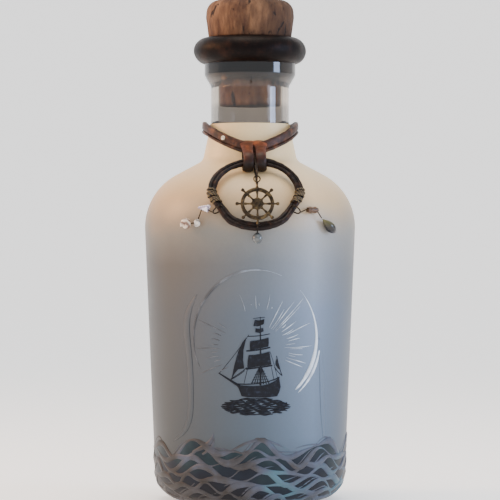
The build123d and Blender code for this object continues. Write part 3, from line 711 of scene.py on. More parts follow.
class BOTTLE_OT_glass(bpy.types.Operator):
    """Make the hollow glass bottle"""
    bl_idname = "bottle.glass"
    bl_label = "Glass"

    def execute(self, context):
        sizes = context.scene.bottle_sizes
        outer = outside_line(sizes)
        lip = cad_lip_height()
        inner = rounded([
            (0, sizes.foot_thickness),
            (sizes.foot_radius - sizes.body_wall, sizes.foot_thickness),
            (sizes.shoulder_radius - sizes.body_wall, sizes.shoulder_height - sizes.body_wall / 2),
            (sizes.bore_radius, sizes.neck_root_height),
            (sizes.bore_radius, lip),
        ], [sizes.foot_round - sizes.body_wall, sizes.shoulder_round - sizes.body_wall,
            sizes.neck_root_round + sizes.body_wall], 14)
        rim = 1.2 * MM
        outer[-1] = outer[-1] - Vector((0, rim))
        top = rounded([outer[-1], (sizes.collar_radius, lip), (sizes.bore_radius, lip),
                       inner[-1] - Vector((0, rim))], [rim, rim], 5)
        line = [Vector((0, 0))] + outer + top[1:-1] + list(reversed(inner[:-1]))
        bm = spun(line, 128)
        finished("bottle_glass", bm, clear_glass(), "bottle", ["glass_bottle"])
        return {"FINISHED"}


class BOTTLE_OT_coat(bpy.types.Operator):
    """Make the frosted coat on the body"""
    bl_idname = "bottle.coat"
    bl_label = "Frosted coat"

    def execute(self, context):
        sizes = context.scene.bottle_sizes
        foot = 1.0 * MM
        gap = 0.02 * MM
        inner = [p for p in outside_line(sizes, gap, 40) if foot <= p.y <= sizes.coat_top]
        outer = [p for p in outside_line(sizes, sizes.coat_thickness, 40) if foot <= p.y <= sizes.coat_top]
        top = sizes.coat_top
        thin_edge = sizes.coat_thickness * 0.6
        outer.append(Vector((radius_at(outside_line(sizes, thin_edge), top), top)))
        inner.append(Vector((radius_at(outside_line(sizes, gap), top), top)))
        bm = spun(outer + list(reversed(inner)), 128, closed=True)
        coat = frosted_coat(context.scene.coat_colours)
        finished("body_coat", bm, coat, "bottle", ["frost_coat"])
        return {"FINISHED"}


class BOTTLE_OT_cork(bpy.types.Operator):
    """Make the cork with its flared head"""
    bl_idname = "bottle.cork"
    bl_label = "Cork"

    def execute(self, context):
        low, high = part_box("cork_stopper")
        lip = cad_lip_height()
        head, top = high[0], high[2]
        shank = context.scene.bottle_sizes.bore_radius - 0.1 * MM
        head_foot, flare_rise = 19.7 * MM, 9.5 * MM
        crown_lean, crown_drop, crown_width = 0.6 * MM, 0.4 * MM, 9 * MM
        line = rounded([
            (0, low[2]), (shank - 0.5 * MM, low[2]), (shank, lip), (head_foot, lip),
            (head, lip + flare_rise), (head - crown_lean, top - crown_drop), (head - crown_width, top),
            (0, top),
        ], [0.8 * MM, 0.05 * MM, 0.4 * MM, 4 * MM, 6 * MM, 0], 8)
        bm = spun(line, 112)
        long_edge = 2 * MM
        rings = [edge for edge in bm.edges if abs(edge.verts[0].co.z - edge.verts[1].co.z) > long_edge]
        bmesh.ops.subdivide_edges(bm, edges=rings, cuts=12, use_grid_fill=True)
        clear_of_lip, pit_size, pit_depth = 0.6 * MM, 2.4 * MM, 0.35 * MM
        for vert in bm.verts:
            if vert.co.z > lip + clear_of_lip:
                pit = noise.noise(Vector((vert.co.x, vert.co.y, vert.co.z * 0.35)) / pit_size)
                depth = pit_depth * max(0.0, pit - 0.28) / 0.4
                flat = Vector((vert.co.x, vert.co.y, 0)).normalized()
                vert.co -= flat * depth
        bmesh.ops.recalc_face_normals(bm, faces=bm.faces)
        finished("cork", bm, natural_cork(lip), "cork", ["cork_stopper"])
        return {"FINISHED"}


class BOTTLE_OT_lip_ring(bpy.types.Operator):
    """Make the rolled ring round the lip"""
    bl_idname = "bottle.lip_ring"
    bl_label = "Lip ring"

    def execute(self, context):
        low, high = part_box("lip_ring")
        inner = context.scene.bottle_sizes.collar_radius + 0.02 * MM
        half = (high[2] - low[2]) / 2
        middle = (high[2] + low[2]) / 2
        outer = high[0]
        belly = outer - half
        flat, tuck = 0.6 * MM, 0.99
        line = [Vector((inner, middle - half * 0.9)), Vector((belly - flat, middle - half))]
        for step in range(1, 20):
            angle = -math.pi / 2 + math.pi * step / 20
            line.append(Vector((belly + half * math.cos(angle) * tuck,
                                middle + half * math.sin(angle) * tuck)))
        line += [Vector((belly - flat, middle + half * 0.985)), Vector((inner, middle + half * 0.86))]
        bm = spun(line, 128, closed=True)
        shrink, dent, sway = 0.35 * MM, 0.55 * MM, 0.35 * MM
        for vert in bm.verts:
            angle = math.atan2(vert.co.y, vert.co.x)
            around = Vector((math.cos(angle), math.sin(angle), 0))
            away = (vert.co.xy.length - inner) / (outer - inner)
            wave = noise.noise(Vector((around.x * 2.2, around.y * 2.2, vert.co.z / (9 * MM))))
            vert.co -= around * away * (shrink + wave * dent)
            vert.co.z += away * sway * noise.noise(around * 1.7)
        bmesh.ops.recalc_face_normals(bm, faces=bm.faces)
        material = hide("waxed_ring", "#050202", "#0e0605", "#24130c", 0.40, 5.0, 0.08)
        finished("lip_roll", bm, material, "bottle", ["lip_ring"], 60)
        return {"FINISHED"}


# ---------------------------------------------------------------------------
# Operators: raised pictures and waves
# ---------------------------------------------------------------------------

class BOTTLE_OT_medallion(bpy.types.Operator):
    """Make the oval ring, the arch round it and the rays"""
    bl_idname = "bottle.medallion"
    bl_label = "Medallion"

    def execute(self, context):
        sizes, picture = context.scene.bottle_sizes, context.scene.picture_sizes
        wide, tall, middle = picture.ring_half_width, picture.ring_half_height, picture.ring_height
        ring = []
        arcs = (
            (66, 208, 0.0, (0.15, 0.7, 1.0, 1.1, 1.0, 0.9, 0.7, 0.4, 0.1)),
            (44, -50, 0.0, (0.1, 0.35, 0.6, 0.9, 1.2, 1.5, 1.6, 1.1, 0.2)),
            (-6, -50, 1.9 * MM, (0.1, 0.6, 0.9, 1.1, 1.2, 1.0, 0.7, 0.4, 0.1)),
        )
        for start, end, grow, shares in arcs:
            line = []
            for step in range(33):
                angle = math.radians(start + (end - start) * step / 32)
                line.append(((wide + grow) * math.cos(angle), middle + (tall + grow) * math.sin(angle),
                             shares[step // 4]))
            ring.append(line)
        drawn("ring_line", ring, 1.1 * MM, sizes.relief, raised_line(), "medallion_ring")

        edge = wide + 1.9 * MM
        legs = (
            (-1, ((-3.4, 98, 0.2), (0.2, 92, 0.9), (1.8, 84, 1.2), (0.4, 74, 1.0), (-0.8, 62, 0.9),
                  (-1.0, 46, 0.9), (-0.2, 38, 0.9), (2.6, 33, 0.7), (6.5, 29.5, 0.2))),
            (1, ((-0.6, 78, 0.2), (0.4, 68, 0.7), (1.0, 52, 0.9), (1.4, 40, 0.8), (1.8, 31, 0.2))),
        )
        arch = [[(side * (edge + x * MM), z * MM, share) for x, z, share in leg] for side, leg in legs]
        coat = bpy.data.objects["body_coat"].active_material
        drawn("arch_lines", arch, 2.8 * MM, sizes.relief * 0.7, coat, "arch_relief", smooth=180)

        random.seed(11)
        rays = []
        long_ray = 5 * MM
        # first and last angle, how many rays, and their near and far reach in millimetres
        fans = ((-22, 40, 13, 13.0, 20.5), (44, 62, 5, 11.0, 25.0), (72, 108, 6, 18.0, 23.0),
                (148, 210, 11, 16.0, 24.0))
        for first, last, count, near, far in fans:
            for index in range(count):
                place = (index + random.uniform(-0.25, 0.25)) / (count - 1)
                angle = math.radians(first + (last - first) * place)
                start = near * MM * random.uniform(0.95, 1.15)
                end = far * MM * random.uniform(0.85, 1.12) + (long_ray if index % 4 == 1 else 0)
                bow = random.uniform(-0.03, 0.03)
                line = []
                for step, share in ((0, 0.25), (0.35, 1.0), (0.7, 0.7), (1, 0.1)):
                    reach = start + (end - start) * step
                    turn = angle + bow * math.sin(math.pi * step)
                    line.append((picture.ship_offset + reach * math.cos(turn),
                                 picture.rays_height + reach * math.sin(turn), share))
                rays.append(line)
        drawn("ray_lines", rays, 0.55 * MM, sizes.relief * 0.8, raised_line(), "sun_rays")
        return {"FINISHED"}


class BOTTLE_OT_ship(bpy.types.Operator):
    """Make the dark ship and the oval of sea under it"""
    bl_idname = "bottle.ship"
    bl_label = "Ship"

    def execute(self, context):
        sizes, picture = context.scene.bottle_sizes, context.scene.picture_sizes
        enamel = navy_enamel()

        def on_ship(points):
            """Places millimetres on the ship, from its waterline, on the bottle."""
            scale = picture.ship_scale * MM
            offset, waterline = picture.ship_offset, picture.ship_height
            return [(offset + p[0] * scale, waterline + p[1] * scale, *p[2:]) for p in points]

        hull = [(-10.4, 5.9), (-6.5, 5.3), (-2.4, 5.1), (1.6, 5.3), (5.0, 6.0), (8.0, 7.4), (10.2, 9.0),
                (10.5, 7.0), (10.9, 4.8), (10.3, 2.4), (9.2, 0.2), (5.0, -0.3), (0.0, -0.4), (-5.0, -0.2),
                (-7.8, 0.3), (-8.5, 2.2), (-9.3, 4.2)]
        bow = [[(-8.8, 5.0, 1.6), (-13.5, 8.0, 1.2), (-18.7, 11.3, 0.6)]]
        rail = [[(-10.2, 6.2, 0.6), (-2.4, 5.6, 0.6), (5.2, 6.6, 0.6), (10.4, 9.4, 0.6)]]
        parts = [plates([on_ship(hull)], sizes.relief)]
        parts.append(strokes([on_ship(line) for line in bow + rail], 0.8 * MM, sizes.relief * 1.1))
        finished("hull", laid_on_body(joined(parts), sizes), enamel, "bottle", ["ship_hull"])

        sails = [
            [(-4.5, 20.0), (-2.0, 20.1), (2.0, 20.7), (5.5, 21.7), (5.9, 18.6), (6.4, 15.4), (3.0, 14.9),
             (-1.0, 14.4), (-5.1, 13.7), (-5.0, 17.0)],
            [(-3.8, 26.7), (0.5, 27.2), (5.0, 28.4), (5.1, 26.0), (4.9, 24.1), (1.0, 23.2), (-3.8, 22.4),
             (-4.0, 24.5)],
            [(-1.4, 31.0), (0.6, 30.6), (2.6, 31.4), (2.4, 33.0), (0.6, 32.6), (-1.2, 32.9)],
            [(-2.3, 34.0), (0.0, 33.8), (2.7, 34.9), (3.0, 37.3), (1.0, 36.6), (-1.6, 36.9)],
            [(-5.6, 28.4), (-7.6, 26.0), (-9.6, 21.4), (-11.2, 15.4), (-12.7, 8.2), (-11.0, 11.4),
             (-9.4, 13.2), (-6.6, 13.6), (-7.2, 17.5), (-7.0, 22.5)],
            [(9.2, 18.6), (9.9, 16.0), (10.8, 12.8), (9.6, 13.6), (8.4, 15.4), (8.6, 17.0)],
        ]
        bm = laid_on_body(plates([on_ship(sail) for sail in sails], sizes.relief * 0.9), sizes)
        finished("sails", bm, enamel, "bottle", ["ship_sails"])

        lines = [
            [(1.2, 5.4, 1.3), (1.25, 22.0, 1.0), (1.1, 31.0, 0.8), (1.0, 38.4, 0.4)],
            [(-5.6, 22.0, 0.9), (0.0, 22.2, 1.0), (5.9, 23.7, 0.9)],
            [(-4.8, 29.0, 0.5), (0.5, 29.0, 0.7), (5.6, 30.2, 0.5)],
            [(-2.4, 37.6, 0.4), (3.4, 38.2, 0.4)],
            [(-5.8, 13.3, 0.9), (0.0, 13.9, 1.0), (6.9, 15.0, 0.9)],
            [(-18.4, 11.3, 0.35), (-11.8, 19.0, 0.35), (-4.4, 29.8, 0.35)],
            [(-12.8, 8.6, 0.5), (-8.6, 11.2, 0.5), (-5.4, 14.0, 0.5)],
            [(-13.0, 8.2, 0.45), (-9.6, 9.8, 0.45), (-6.4, 12.6, 0.45)],
            [(9.0, 19.6, 0.5), (10.2, 14.0, 0.6), (11.6, 10.4, 0.5)],
            [(8.0, 14.2, 0.6), (9.8, 11.4, 0.5), (11.8, 10.0, 0.5)],
            [(5.9, 21.6, 0.3), (8.0, 15.0, 0.3), (9.4, 9.2, 0.3)],
            [(-5.0, 13.6, 0.35), (-6.0, 9.4, 0.35), (-6.8, 5.8, 0.35)],
            [(6.3, 14.8, 0.35), (7.2, 11.0, 0.35), (7.8, 7.6, 0.35)],
        ]
        mast, shroud_top = 1.2, 14.2
        for foot in (-3.2, -1.8, -0.5, 2.8, 4.1, 5.4):
            lines.append([(mast + (foot - mast) * 0.12, shroud_top, 0.5), (foot, 6.0, 0.6)])
        for step in range(5):
            level = 6.8 + step * 1.3
            reach = 1.0 + (shroud_top - level) * 0.48
            lines.append([(mast - reach, level, 0.3), (mast + reach, level + 0.35, 0.3)])
        drawn("rigging", [on_ship(line) for line in lines], 0.7 * MM, sizes.relief * 0.8, enamel,
              "ship_rigging")

        random.seed(5)
        sea = []
        rows, half_wide, half_deep, middle = 9, 16.2, 4.1, -4.8
        for row in range(rows):
            share = (row + 0.5) / rows * 2 - 1
            half = half_wide * math.sqrt(1 - share ** 2) + 0.6
            level = middle + share * half_deep
            start = -half - 0.8
            while start < half - 1.5:
                run = random.uniform(5.0, 11.0)
                end = min(start + run, half - 0.8)
                line = []
                for step in range(6):
                    x = start + (end - start) * step / 5
                    z = level + 0.32 * math.sin(x * 1.35 + row * 1.9) + random.uniform(-0.08, 0.08)
                    line.append((x, z, (0.35, 1.0, 1.15, 1.1, 0.9, 0.3)[step]))
                sea.append(line)
                start = end + random.uniform(-1.2, 0.5)
        drawn("sea_oval", [on_ship(line) for line in sea], 0.95 * MM, sizes.relief * 0.8, enamel,
              "sea_decal")
        return {"FINISHED"}


WAVE_ROWS = 8
MOUNDS = 9


def wave_height(row, angle, waves, lift=0.0):
    """Height of a wave row at an angle round the foot: rows run against each other over slow mounds."""
    sense = 1 if row % 2 else -1
    share = row / (WAVE_ROWS - 1)
    mound = math.cos(MOUNDS * (angle - 0.06)) * (0.15 + 0.85 * share)
    swell = 2.9 * mound + 0.7 * math.sin(4 * angle + 0.5 * row)
    warp = 0.75 * math.sin(3 * angle + 0.9 * row) + 0.45 * math.sin(7 * angle + 1.9 * row)
    crest = 1.55 + 0.5 * math.sin(5 * angle + 2 * row)
    return (2.2 + 3.45 * row + lift + swell + sense * crest * math.sin(waves * angle + warp + lift)) * MM


class BOTTLE_OT_waves(bpy.types.Operator):
    """Make the moulded waves round the foot"""
    bl_idname = "bottle.waves"
    bl_label = "Waves"

    def execute(self, context):
        sizes, picture = context.scene.bottle_sizes, context.scene.picture_sizes
        waves = picture.waves
        around = sizes.foot_radius
        ribbons = []
        count = waves * 16
        lowest = 1.9 * MM
        for row in range(WAVE_ROWS):
            for lift, size in ((0.0, 1.0), (1.1, 0.28)):
                line = []
                for step in range(count + 1):
                    angle = TURN * step / count - math.pi
                    level = max(wave_height(row, angle, waves, lift), lowest)
                    share = 1.0 + 0.45 * math.sin(9 * angle + 1.7 * row)
                    share += 0.25 * math.sin(14 * angle + 2 * row)
                    line.append((angle * around, level, size * max(0.4, share)))
                ribbons.append(line)
        bm = strokes(ribbons, 2.2 * MM, sizes.relief * 0.95, kind="POLY")
        bm = laid_on_body(bm, sizes, around=True)
        crest = wave_crest()
        finished("wave_crests", bm, crest, "bottle", ["wave_band"], 180)

        bm = bmesh.new()
        foot, stand, sink = 1.2 * MM, 0.12 * MM, 0.14 * MM
        bmesh.ops.create_grid(bm, x_segments=count, y_segments=12, size=0.5)
        for vert in bm.verts:
            angle = vert.co.x * TURN
            share = vert.co.y + 0.5
            top = wave_height(WAVE_ROWS - 1, angle, waves)
            vert.co = Vector((angle * around, stand, foot + (top - foot) * share))
        skin = bmesh.ops.extrude_face_region(bm, geom=bm.faces[:])
        verts = [item for item in skin["geom"] if isinstance(item, bmesh.types.BMVert)]
        bmesh.ops.translate(bm, vec=(0, -sink, 0), verts=verts)
        bm = laid_on_body(bm, sizes, around=True)
        finished("wave_pools", bm, wave_enamel(), "bottle", (), 60)

        left = -19.4
        splash = [
            [(-9.5, 25.0, 0.5), (-6.0, 26.6, 1.2), (-2.6, 28.4, 1.3), (-0.6, 30.8, 0.8), (0, 34.0, 0.15)],
            [(-5.0, 24.0, 0.6), (-1.5, 26.2, 0.9), (0.4, 28.8, 0.6), (0.2, 31.8, 0.15)],
            [(6.5, 25.0, 0.3), (14.0, 29.8, 0.7), (22.0, 32.2, 0.8), (30.0, 29.0, 0.5), (35.0, 26.0, 0.15)],
            [(38, 26.8, 0.2), (44, 28.8, 0.6), (50, 28.2, 0.15)],
        ]
        lines = [[((left + x) * MM, z * MM, share) for x, z, share in line] for line in splash]
        drawn("splash", lines, 2.0 * MM, sizes.relief, crest, "wave_splash")
        return {"FINISHED"}


# ---------------------------------------------------------------------------
# Operators: necklace
# ---------------------------------------------------------------------------

class BOTTLE_OT_strap(bpy.types.Operator):
    """Make the leather strap, its stud and the keeper folded over it"""
    bl_idname = "bottle.strap"
    bl_label = "Strap and keeper"

    def execute(self, context):
        low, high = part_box("neck_strap")
        thick = 2.4 * MM
        wide = (high[0] - low[0]) / 2 - thick / 2
        deep = (high[1] - low[1]) / 2 - thick / 2
        middle = (high[1] + low[1]) / 2
        half, back_rise = 3.0 * MM, 7.0 * MM
        top, front, back = high[2] - half, low[2] + half, low[2] + half + back_rise
        leather = hide("strap_leather", "#120906", "#3a2015", "#6b4029", 0.42, 4.0)
        # Painted shade: the keeper darkens to near black below the strap, where it wraps round the loop's
        # hook.
        shade_heights = (front - 7 * MM, front + 3 * MM)
        shaded_below = hide("keeper_leather", "#2a130b", "#5a2c18", "#8f4a28", 0.4, 5.5, fade=shade_heights)

        def dip(angle):
            """Height of the strap's middle at an angle from the front."""
            ahead, aside = math.cos(angle), abs(math.sin(angle))
            lowest = front if ahead > 0 else back
            return top - (top - lowest) * (0.5 * (1 - aside) + 0.5 * abs(ahead) ** 1.3)

        def band(drop, out, half_wide, half_tall, power):
            """A closed band along the strap, moved down and out from its middle line."""
            rings = []
            for step in range(96):
                angle = TURN * step / 96
                tall = half_tall * (1 - 0.18 * abs(math.sin(angle)))
                normal = Vector((math.sin(angle) / wide, -math.cos(angle) / deep, 0)).normalized()
                place = Vector((math.sin(angle) * wide, middle - math.cos(angle) * deep, dip(angle) + drop))
                rings.append([place + normal * (out + across) + Vector((0, 0, up))
                              for across, up in soft_box(half_wide, tall, 20, power)])
            return lofted(rings)

        upper = band(0.75 * MM, 0.1 * MM, 1.15 * MM, 2.3 * MM, 0.55)
        lower = band(-2.15 * MM, 0.25 * MM, 1.1 * MM, 0.85 * MM, 0.9)
        bm = roughened(joined([upper, lower]), 0.16 * MM, 2.5 * MM, 3.0)
        finished("strap", bm, leather, "necklace", ["neck_strap"], 60)

        low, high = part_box("strap_stud")
        centre = Vector(((low[0] + high[0]) / 2, (low[1] + high[1]) / 2, (low[2] + high[2]) / 2))
        way = Vector((centre.x, centre.y - middle, 0)).normalized()
        line = rounded([(0, -0.4), (1.05, -0.4), (1.05, 0.35), (0.8, 0.75), (0, 0.8)], [0.1, 0.2, 0.3], 4)
        bm = spun([point * MM for point in line], 32)
        bone = shell("polished_bone", "#b9a88c", "#dccfb4", "#f2e8d2")
        finished("stud", moved(bm, aimed(centre, way)), bone, "necklace", ["strap_stud"])

        hook = Vector(JOINTS["loop_swing"]["pos_m"])
        strap = Vector((0, middle - deep, front))
        up = (strap - hook).normalized()
        out = Vector((0, -up.z, up.y))
        wrap, over_strap, strap_side = 4.4 * MM, 5.6 * MM, 3.1 * MM
        side_view = []
        for step in range(15):
            angle = math.radians(-85 + 170 * step / 14)
            side_view.append(hook - up * math.cos(angle) * wrap - out * math.sin(angle) * wrap)
        for step in range(15):
            angle = math.radians(85 - 170 * step / 14)
            side_view.append(strap + up * math.cos(angle) * over_strap - out * math.sin(angle) * strap_side)
        side_view += [side_view[-1].lerp(side_view[0], share) for share in (0.25, 0.5, 0.75)]
        core = sum(side_view, Vector()) / len(side_view)
        foot, head = hook.z - wrap, strap.z + 5.2 * MM
        leather_half, puff_out, tuck = 0.62 * MM, 0.55 * MM, 0.6 * MM
        halves = []
        for sign in (-1, 1):
            rings = []
            for index, point in enumerate(side_view):
                before, after = side_view[index - 1], side_view[(index + 1) % len(side_view)]
                run = (after - before).normalized()
                normal = Vector((0, -run.z, run.y))
                if normal.dot(point - core) < 0:
                    normal = -normal
                share = (point.z - foot) / (head - foot)
                closed = smooth_step((share - 0.8) / 0.12)
                inner = (0.55 - 1.8 * closed) * MM
                flare = 0.8 * smooth_step((share - 0.5) / 0.5)
                outer = (5.7 - 0.4 * math.sin(math.pi * share) + flare) * MM
                ring = []
                for across, rise in soft_box(1.0, 1.0, 24, 0.6):
                    x = (inner + outer) / 2 + across * (outer - inner) / 2
                    off = rise * leather_half + puff_out * (1 - across ** 2) - tuck
                    ring.append(point + normal * off + Vector((sign * x, 0, 0)))
                rings.append(ring)
            halves.append(lofted(rings))
        bm = roughened(joined(halves), 0.2 * MM, 3.2 * MM, 8.0)
        finished("keeper", bm, shaded_below, "necklace", ["strap_keeper"], 50)
        return {"FINISHED"}


class BOTTLE_OT_loop(bpy.types.Operator):
    """Make the oval leather loop and its twine lashings"""
    bl_idname = "bottle.loop"
    bl_label = "Pendant loop"

    def execute(self, context):
        low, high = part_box("pendant_loop")
        strand = 1.9 * MM
        wide = (high[0] - low[0]) / 2 - strand
        centre = Vector(((low[0] + high[0]) / 2, (low[1] + high[1]) / 2, (low[2] + high[2]) / 2))
        run_y, run_z = (high[1] - low[1]) / 2 - strand, (high[2] - low[2]) / 2 - strand
        up = Vector((0, run_y, run_z))
        tall = up.length
        up = up.normalized()
        out = Vector((1, 0, 0)).cross(up)

        def oval(angle, grow=0.0):
            """A point of the loop: widest above its middle, drawn to a soft point below."""
            x = math.sin(angle) * (wide + grow)
            y = math.cos(angle) * (tall + grow)
            if y < 0:
                x *= 1 - 0.13 * math.sin(math.pi * min(1.0, -y / tall)) ** 1.5
            return x, y

        def round_loop(angle, radius, turn):
            """A point beside the loop's middle line, at a radius and a turn round it."""
            x, y = oval(angle, radius * math.cos(turn))
            return centre + Vector((x, 0, 0)) + up * y + out * radius * math.sin(turn)

        count = 120
        lines = []
        for offset, phase, size in ((0.95, 0.0, 1.0), (-0.85, 2.0, 0.94)):
            line = []
            for step in range(count):
                angle = TURN * step / count
                lean = 0.45 * math.sin(3 * angle + phase)
                place = round_loop(angle, offset * MM, lean)
                share = size * (1.0 + 0.10 * math.cos(angle + math.pi) + 0.07 * math.sin(5 * angle + phase))
                line.append((tuple(place), share))
            lines.append(line)
        bm = roughened(swept(lines, 2.45 * MM, closed=True, sides=3), 0.16 * MM, 2.4 * MM, 1.0)
        leather = hide("dark_leather", "#060303", "#170c09", "#3c2417", 0.36, 3.2, 0.15)
        finished("loop_cord", bm, leather, "pendant", ["pendant_loop"], 60)

        twine = waxed_twine()
        for side, node in ((-1, "left_lashing"), (1, "right_lashing")):
            line = []
            turns, points = 5, 14
            span = 8 * MM / tall
            for step in range(turns * points + 1):
                share = step / (turns * points)
                angle = side * (math.pi / 2 + 2.2 * MM / tall + (share - 0.5) * span)
                turn = share * turns * TURN
                line.append((tuple(round_loop(angle, 2.15 * MM, turn)), 1.0))
            knot = []
            for step in range(17):
                share = step / 16
                angle = side * (math.pi / 2 + (1.0 + share * 3.6) * MM / tall)
                knot.append((tuple(round_loop(angle, 2.5 * MM, share * TURN * 1.25 + 0.6)), 0.9))
            bm = swept([line, knot], 0.9 * MM, sides=2)
            bm = roughened(bm, 0.08 * MM, 1.2 * MM, side * 2.0)
            finished(node + "_twine", bm, twine, "pendant", [node], 180)
        return {"FINISHED"}


class BOTTLE_OT_wheel(bpy.types.Operator):
    """Make the ship's wheel charm"""
    bl_idname = "bottle.wheel"
    bl_label = "Wheel charm"

    def execute(self, context):
        eye = Vector(JOINTS["wheel_swing"]["pos_m"])
        tilt = math.radians(18)
        drop, rim, half = 12.0 * MM, 7.7 * MM, 0.75 * MM
        inside, crown = rim - 1.6 * MM, rim - 0.8 * MM
        parts = []
        ring = rounded([(inside, 0), (inside, half), (crown, half * 1.1), (rim, half), (rim, -half),
                        (crown, -half * 1.1), (inside, -half), (inside, 0)],
                       [0.3 * MM, 0.1 * MM, 0.3 * MM, 0.3 * MM, 0.1 * MM, 0.3 * MM], 4)
        parts.append(spun(ring, 64))
        bead = [(crown + 0.28 * MM * math.cos(a), half + 0.2 * MM * math.sin(a))
                for a in [TURN * i / 10 for i in range(10)]]
        parts.append(spun(bead, 64, closed=True))
        hub = rounded([(0, half * 1.5), (0.9 * MM, half * 1.5), (1.2 * MM, half * 1.15), (2.9 * MM, half),
                       (2.9 * MM, -half), (0, -half)], [0.3 * MM, 0.2 * MM, 0.3 * MM, 0.3 * MM], 4)
        parts.append(spun(hub, 8))
        spoke = [(0, 1.6), (0.55, 1.6), (0.62, 2.8), (0.38, 3.4), (0.42, 4.6), (0.62, 5.4), (0.5, 6.2),
                 (0.5, 6.6), (0, 6.6)]
        handle = [(0, 7.3), (0.62, 7.3), (0.45, 8.0), (0.42, 8.4), (0.74, 9.0), (0.82, 9.5), (0.6, 10.0),
                  (0.25, 10.1), (0, 10.1)]
        # the stem takes the place of the first handle
        for index in range(8):
            lay = Matrix.Rotation(TURN * index / 8, 4, "Z") @ Matrix.Rotation(-math.pi / 2, 4, "X")
            parts.append(moved(spun([(r * MM, z * MM) for r, z in spoke], 12), lay))
            if index:
                parts.append(moved(spun([(r * MM, z * MM) for r, z in handle], 12), lay))
        stem = [(0, rim - 0.4 * MM), (0.8 * MM, rim - 0.2 * MM), (0.45 * MM, rim + 1.2 * MM),
                (0.7 * MM, drop - 1.6 * MM), (0, drop - 1.5 * MM)]
        parts.append(moved(spun(stem, 12), Matrix.Rotation(-math.pi / 2, 4, "X")))
        ring = [(1.45 * MM + 0.3 * MM * math.cos(a), 0.38 * MM * math.sin(a))
                for a in [TURN * i / 12 for i in range(12)]]
        parts.append(moved(spun(ring, 40, closed=True), Matrix.Translation((0, drop, 0))))
        down = Vector((0, -math.sin(tilt), -math.cos(tilt)))
        face = Vector((1, 0, 0)).cross(-down)
        matrix = Matrix(((1, 0, 0), tuple(-down), tuple(face))).transposed().to_4x4()
        matrix.translation = eye + down * drop
        bm = moved(joined(parts), matrix)
        finished("wheel", bm, aged_bronze(), "wheel", ["ship_wheel_charm"], 50)
        return {"FINISHED"}


# ---------------------------------------------------------------------------
# Operators: small charms
# ---------------------------------------------------------------------------

def node_middle(name):
    """The middle of a node's box."""
    low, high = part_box(name)
    return (Vector(low) + Vector(high)) / 2


class BOTTLE_OT_shells(bpy.types.Operator):
    """Make the three shells on the left"""
    bl_idname = "bottle.shells"
    bl_label = "Shells"

    def execute(self, context):
        hook = Vector(JOINTS["left_charm_swing"]["pos_m"])
        spire = node_middle("left_spiral_shell")
        way = (spire - hook).normalized()
        turns, points = 5.0, 16
        line = []
        total = int(turns * points)
        for step in range(total + 1):
            share = step / total
            radius = (0.25 + 0.85 * share) * MM
            angle = share * turns * TURN
            line.append(((radius * math.cos(angle), radius * math.sin(angle), (3.2 - 6.0 * share) * MM),
                         0.35 + 0.75 * share))
        whorls = swept([line], 1.5 * MM, sides=3)
        core = spun([(0, 3.3 * MM), (0.2 * MM, 3.2 * MM), (1.1 * MM, -2.7 * MM), (0, -3.0 * MM)], 24)
        bm = moved(joined([whorls, core]), aimed(spire, way))
        lilac = shell("lilac_shell", "#8f7f9c", "#cdbfd4", "#f1e9ee")
        finished("spiral_shell", bm, lilac, "left_charms", ["left_spiral_shell"], 180)

        for node, name, radius, tones, spin_way in (
                ("left_round_shell", "snail_shell", 3.1, ("#6b4c3c", "#9a8676", "#cbbcaa"), 1),
                ("left_grey_shell", "grey_snail", 2.0, ("#6c6763", "#9a958f", "#cdc8c0"), -1)):
            middle = node_middle(node)
            out = Vector((middle.x, middle.y, 0)).normalized()
            line = []
            for step in range(41):
                share = step / 40
                angle = spin_way * (share * 2.4 * TURN + 0.5)
                reach = radius * (0.04 + 0.54 * share ** 1.5) * MM
                rise = (0.34 - 0.3 * share) * radius * MM
                line.append(((reach * math.cos(angle), reach * math.sin(angle), rise), 0.24 + 0.76 * share))
            coil = swept([line], radius * 1.02 * MM, sides=4)
            bm = moved(roughened(coil, 0.08 * MM, 1.5 * MM), aimed(middle, out))
            finished(name, bm, shell(name, *tones), "left_charms", [node],
                     180)
        return {"FINISHED"}


class BOTTLE_OT_drops(bpy.types.Operator):
    """Make the wood bead and the glass drops"""
    bl_idname = "bottle.drops"
    bl_label = "Bead and drops"

    def execute(self, context):
        bead = node_middle("right_wood_bead")
        hook = Vector(JOINTS["right_charm_swing"]["pos_m"])
        way = (bead - hook).normalized()
        line = rounded([(0, -3.1), (1.2, -3.1), (1.3, -2.2), (1.6, -1.6), (1.35, 0), (1.6, 1.6), (1.25, 2.4),
                        (1.1, 3.1), (0, 3.1)], [0.3, 0.3, 0.6, 3.0, 0.6, 0.3, 0.3], 4)
        bm = moved(spun([point * MM for point in line], 32), aimed(bead, way))
        finished("bead", bm, turned_wood(), "right_charms", ["right_wood_bead"], 60)

        low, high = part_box("right_teardrop")
        long, radius = 11.0 * MM, 2.35 * MM
        middle = node_middle("right_teardrop")
        run = Vector((high[0] - low[0], high[1] - low[1], low[2] - high[2])).normalized()
        bm = moved(drop_mesh(long, radius), aimed(middle - run * long / 2, run))
        finished("teardrop", bm, tinted_drop(low[2], high[2]), "right_charms", ["right_teardrop"],
                 180)

        low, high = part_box("glass_drop")
        tip = Vector(((low[0] + high[0]) / 2, (low[1] + high[1]) / 2, high[2]))
        bm = moved(drop_mesh(5.35 * MM, radius, 1.1, 0.55), aimed(tip, (0, 0, -1)))
        finished("drop", bm, smoke_glass(), "drop", ["glass_drop"], 180)
        return {"FINISHED"}


def drop_mesh(long, radius, taper=1.35, fullness=0.8):
    """A drop with its tip at the origin and a round end up Z; a low taper makes it a ball."""
    line = [(0, 0)]
    count = 22
    for step in range(1, count):
        share = step / count
        swell = math.sin(math.pi * share ** taper) ** fullness
        line.append((radius * swell, long * share))
    line.append((0, long))
    return spun(line, 36)


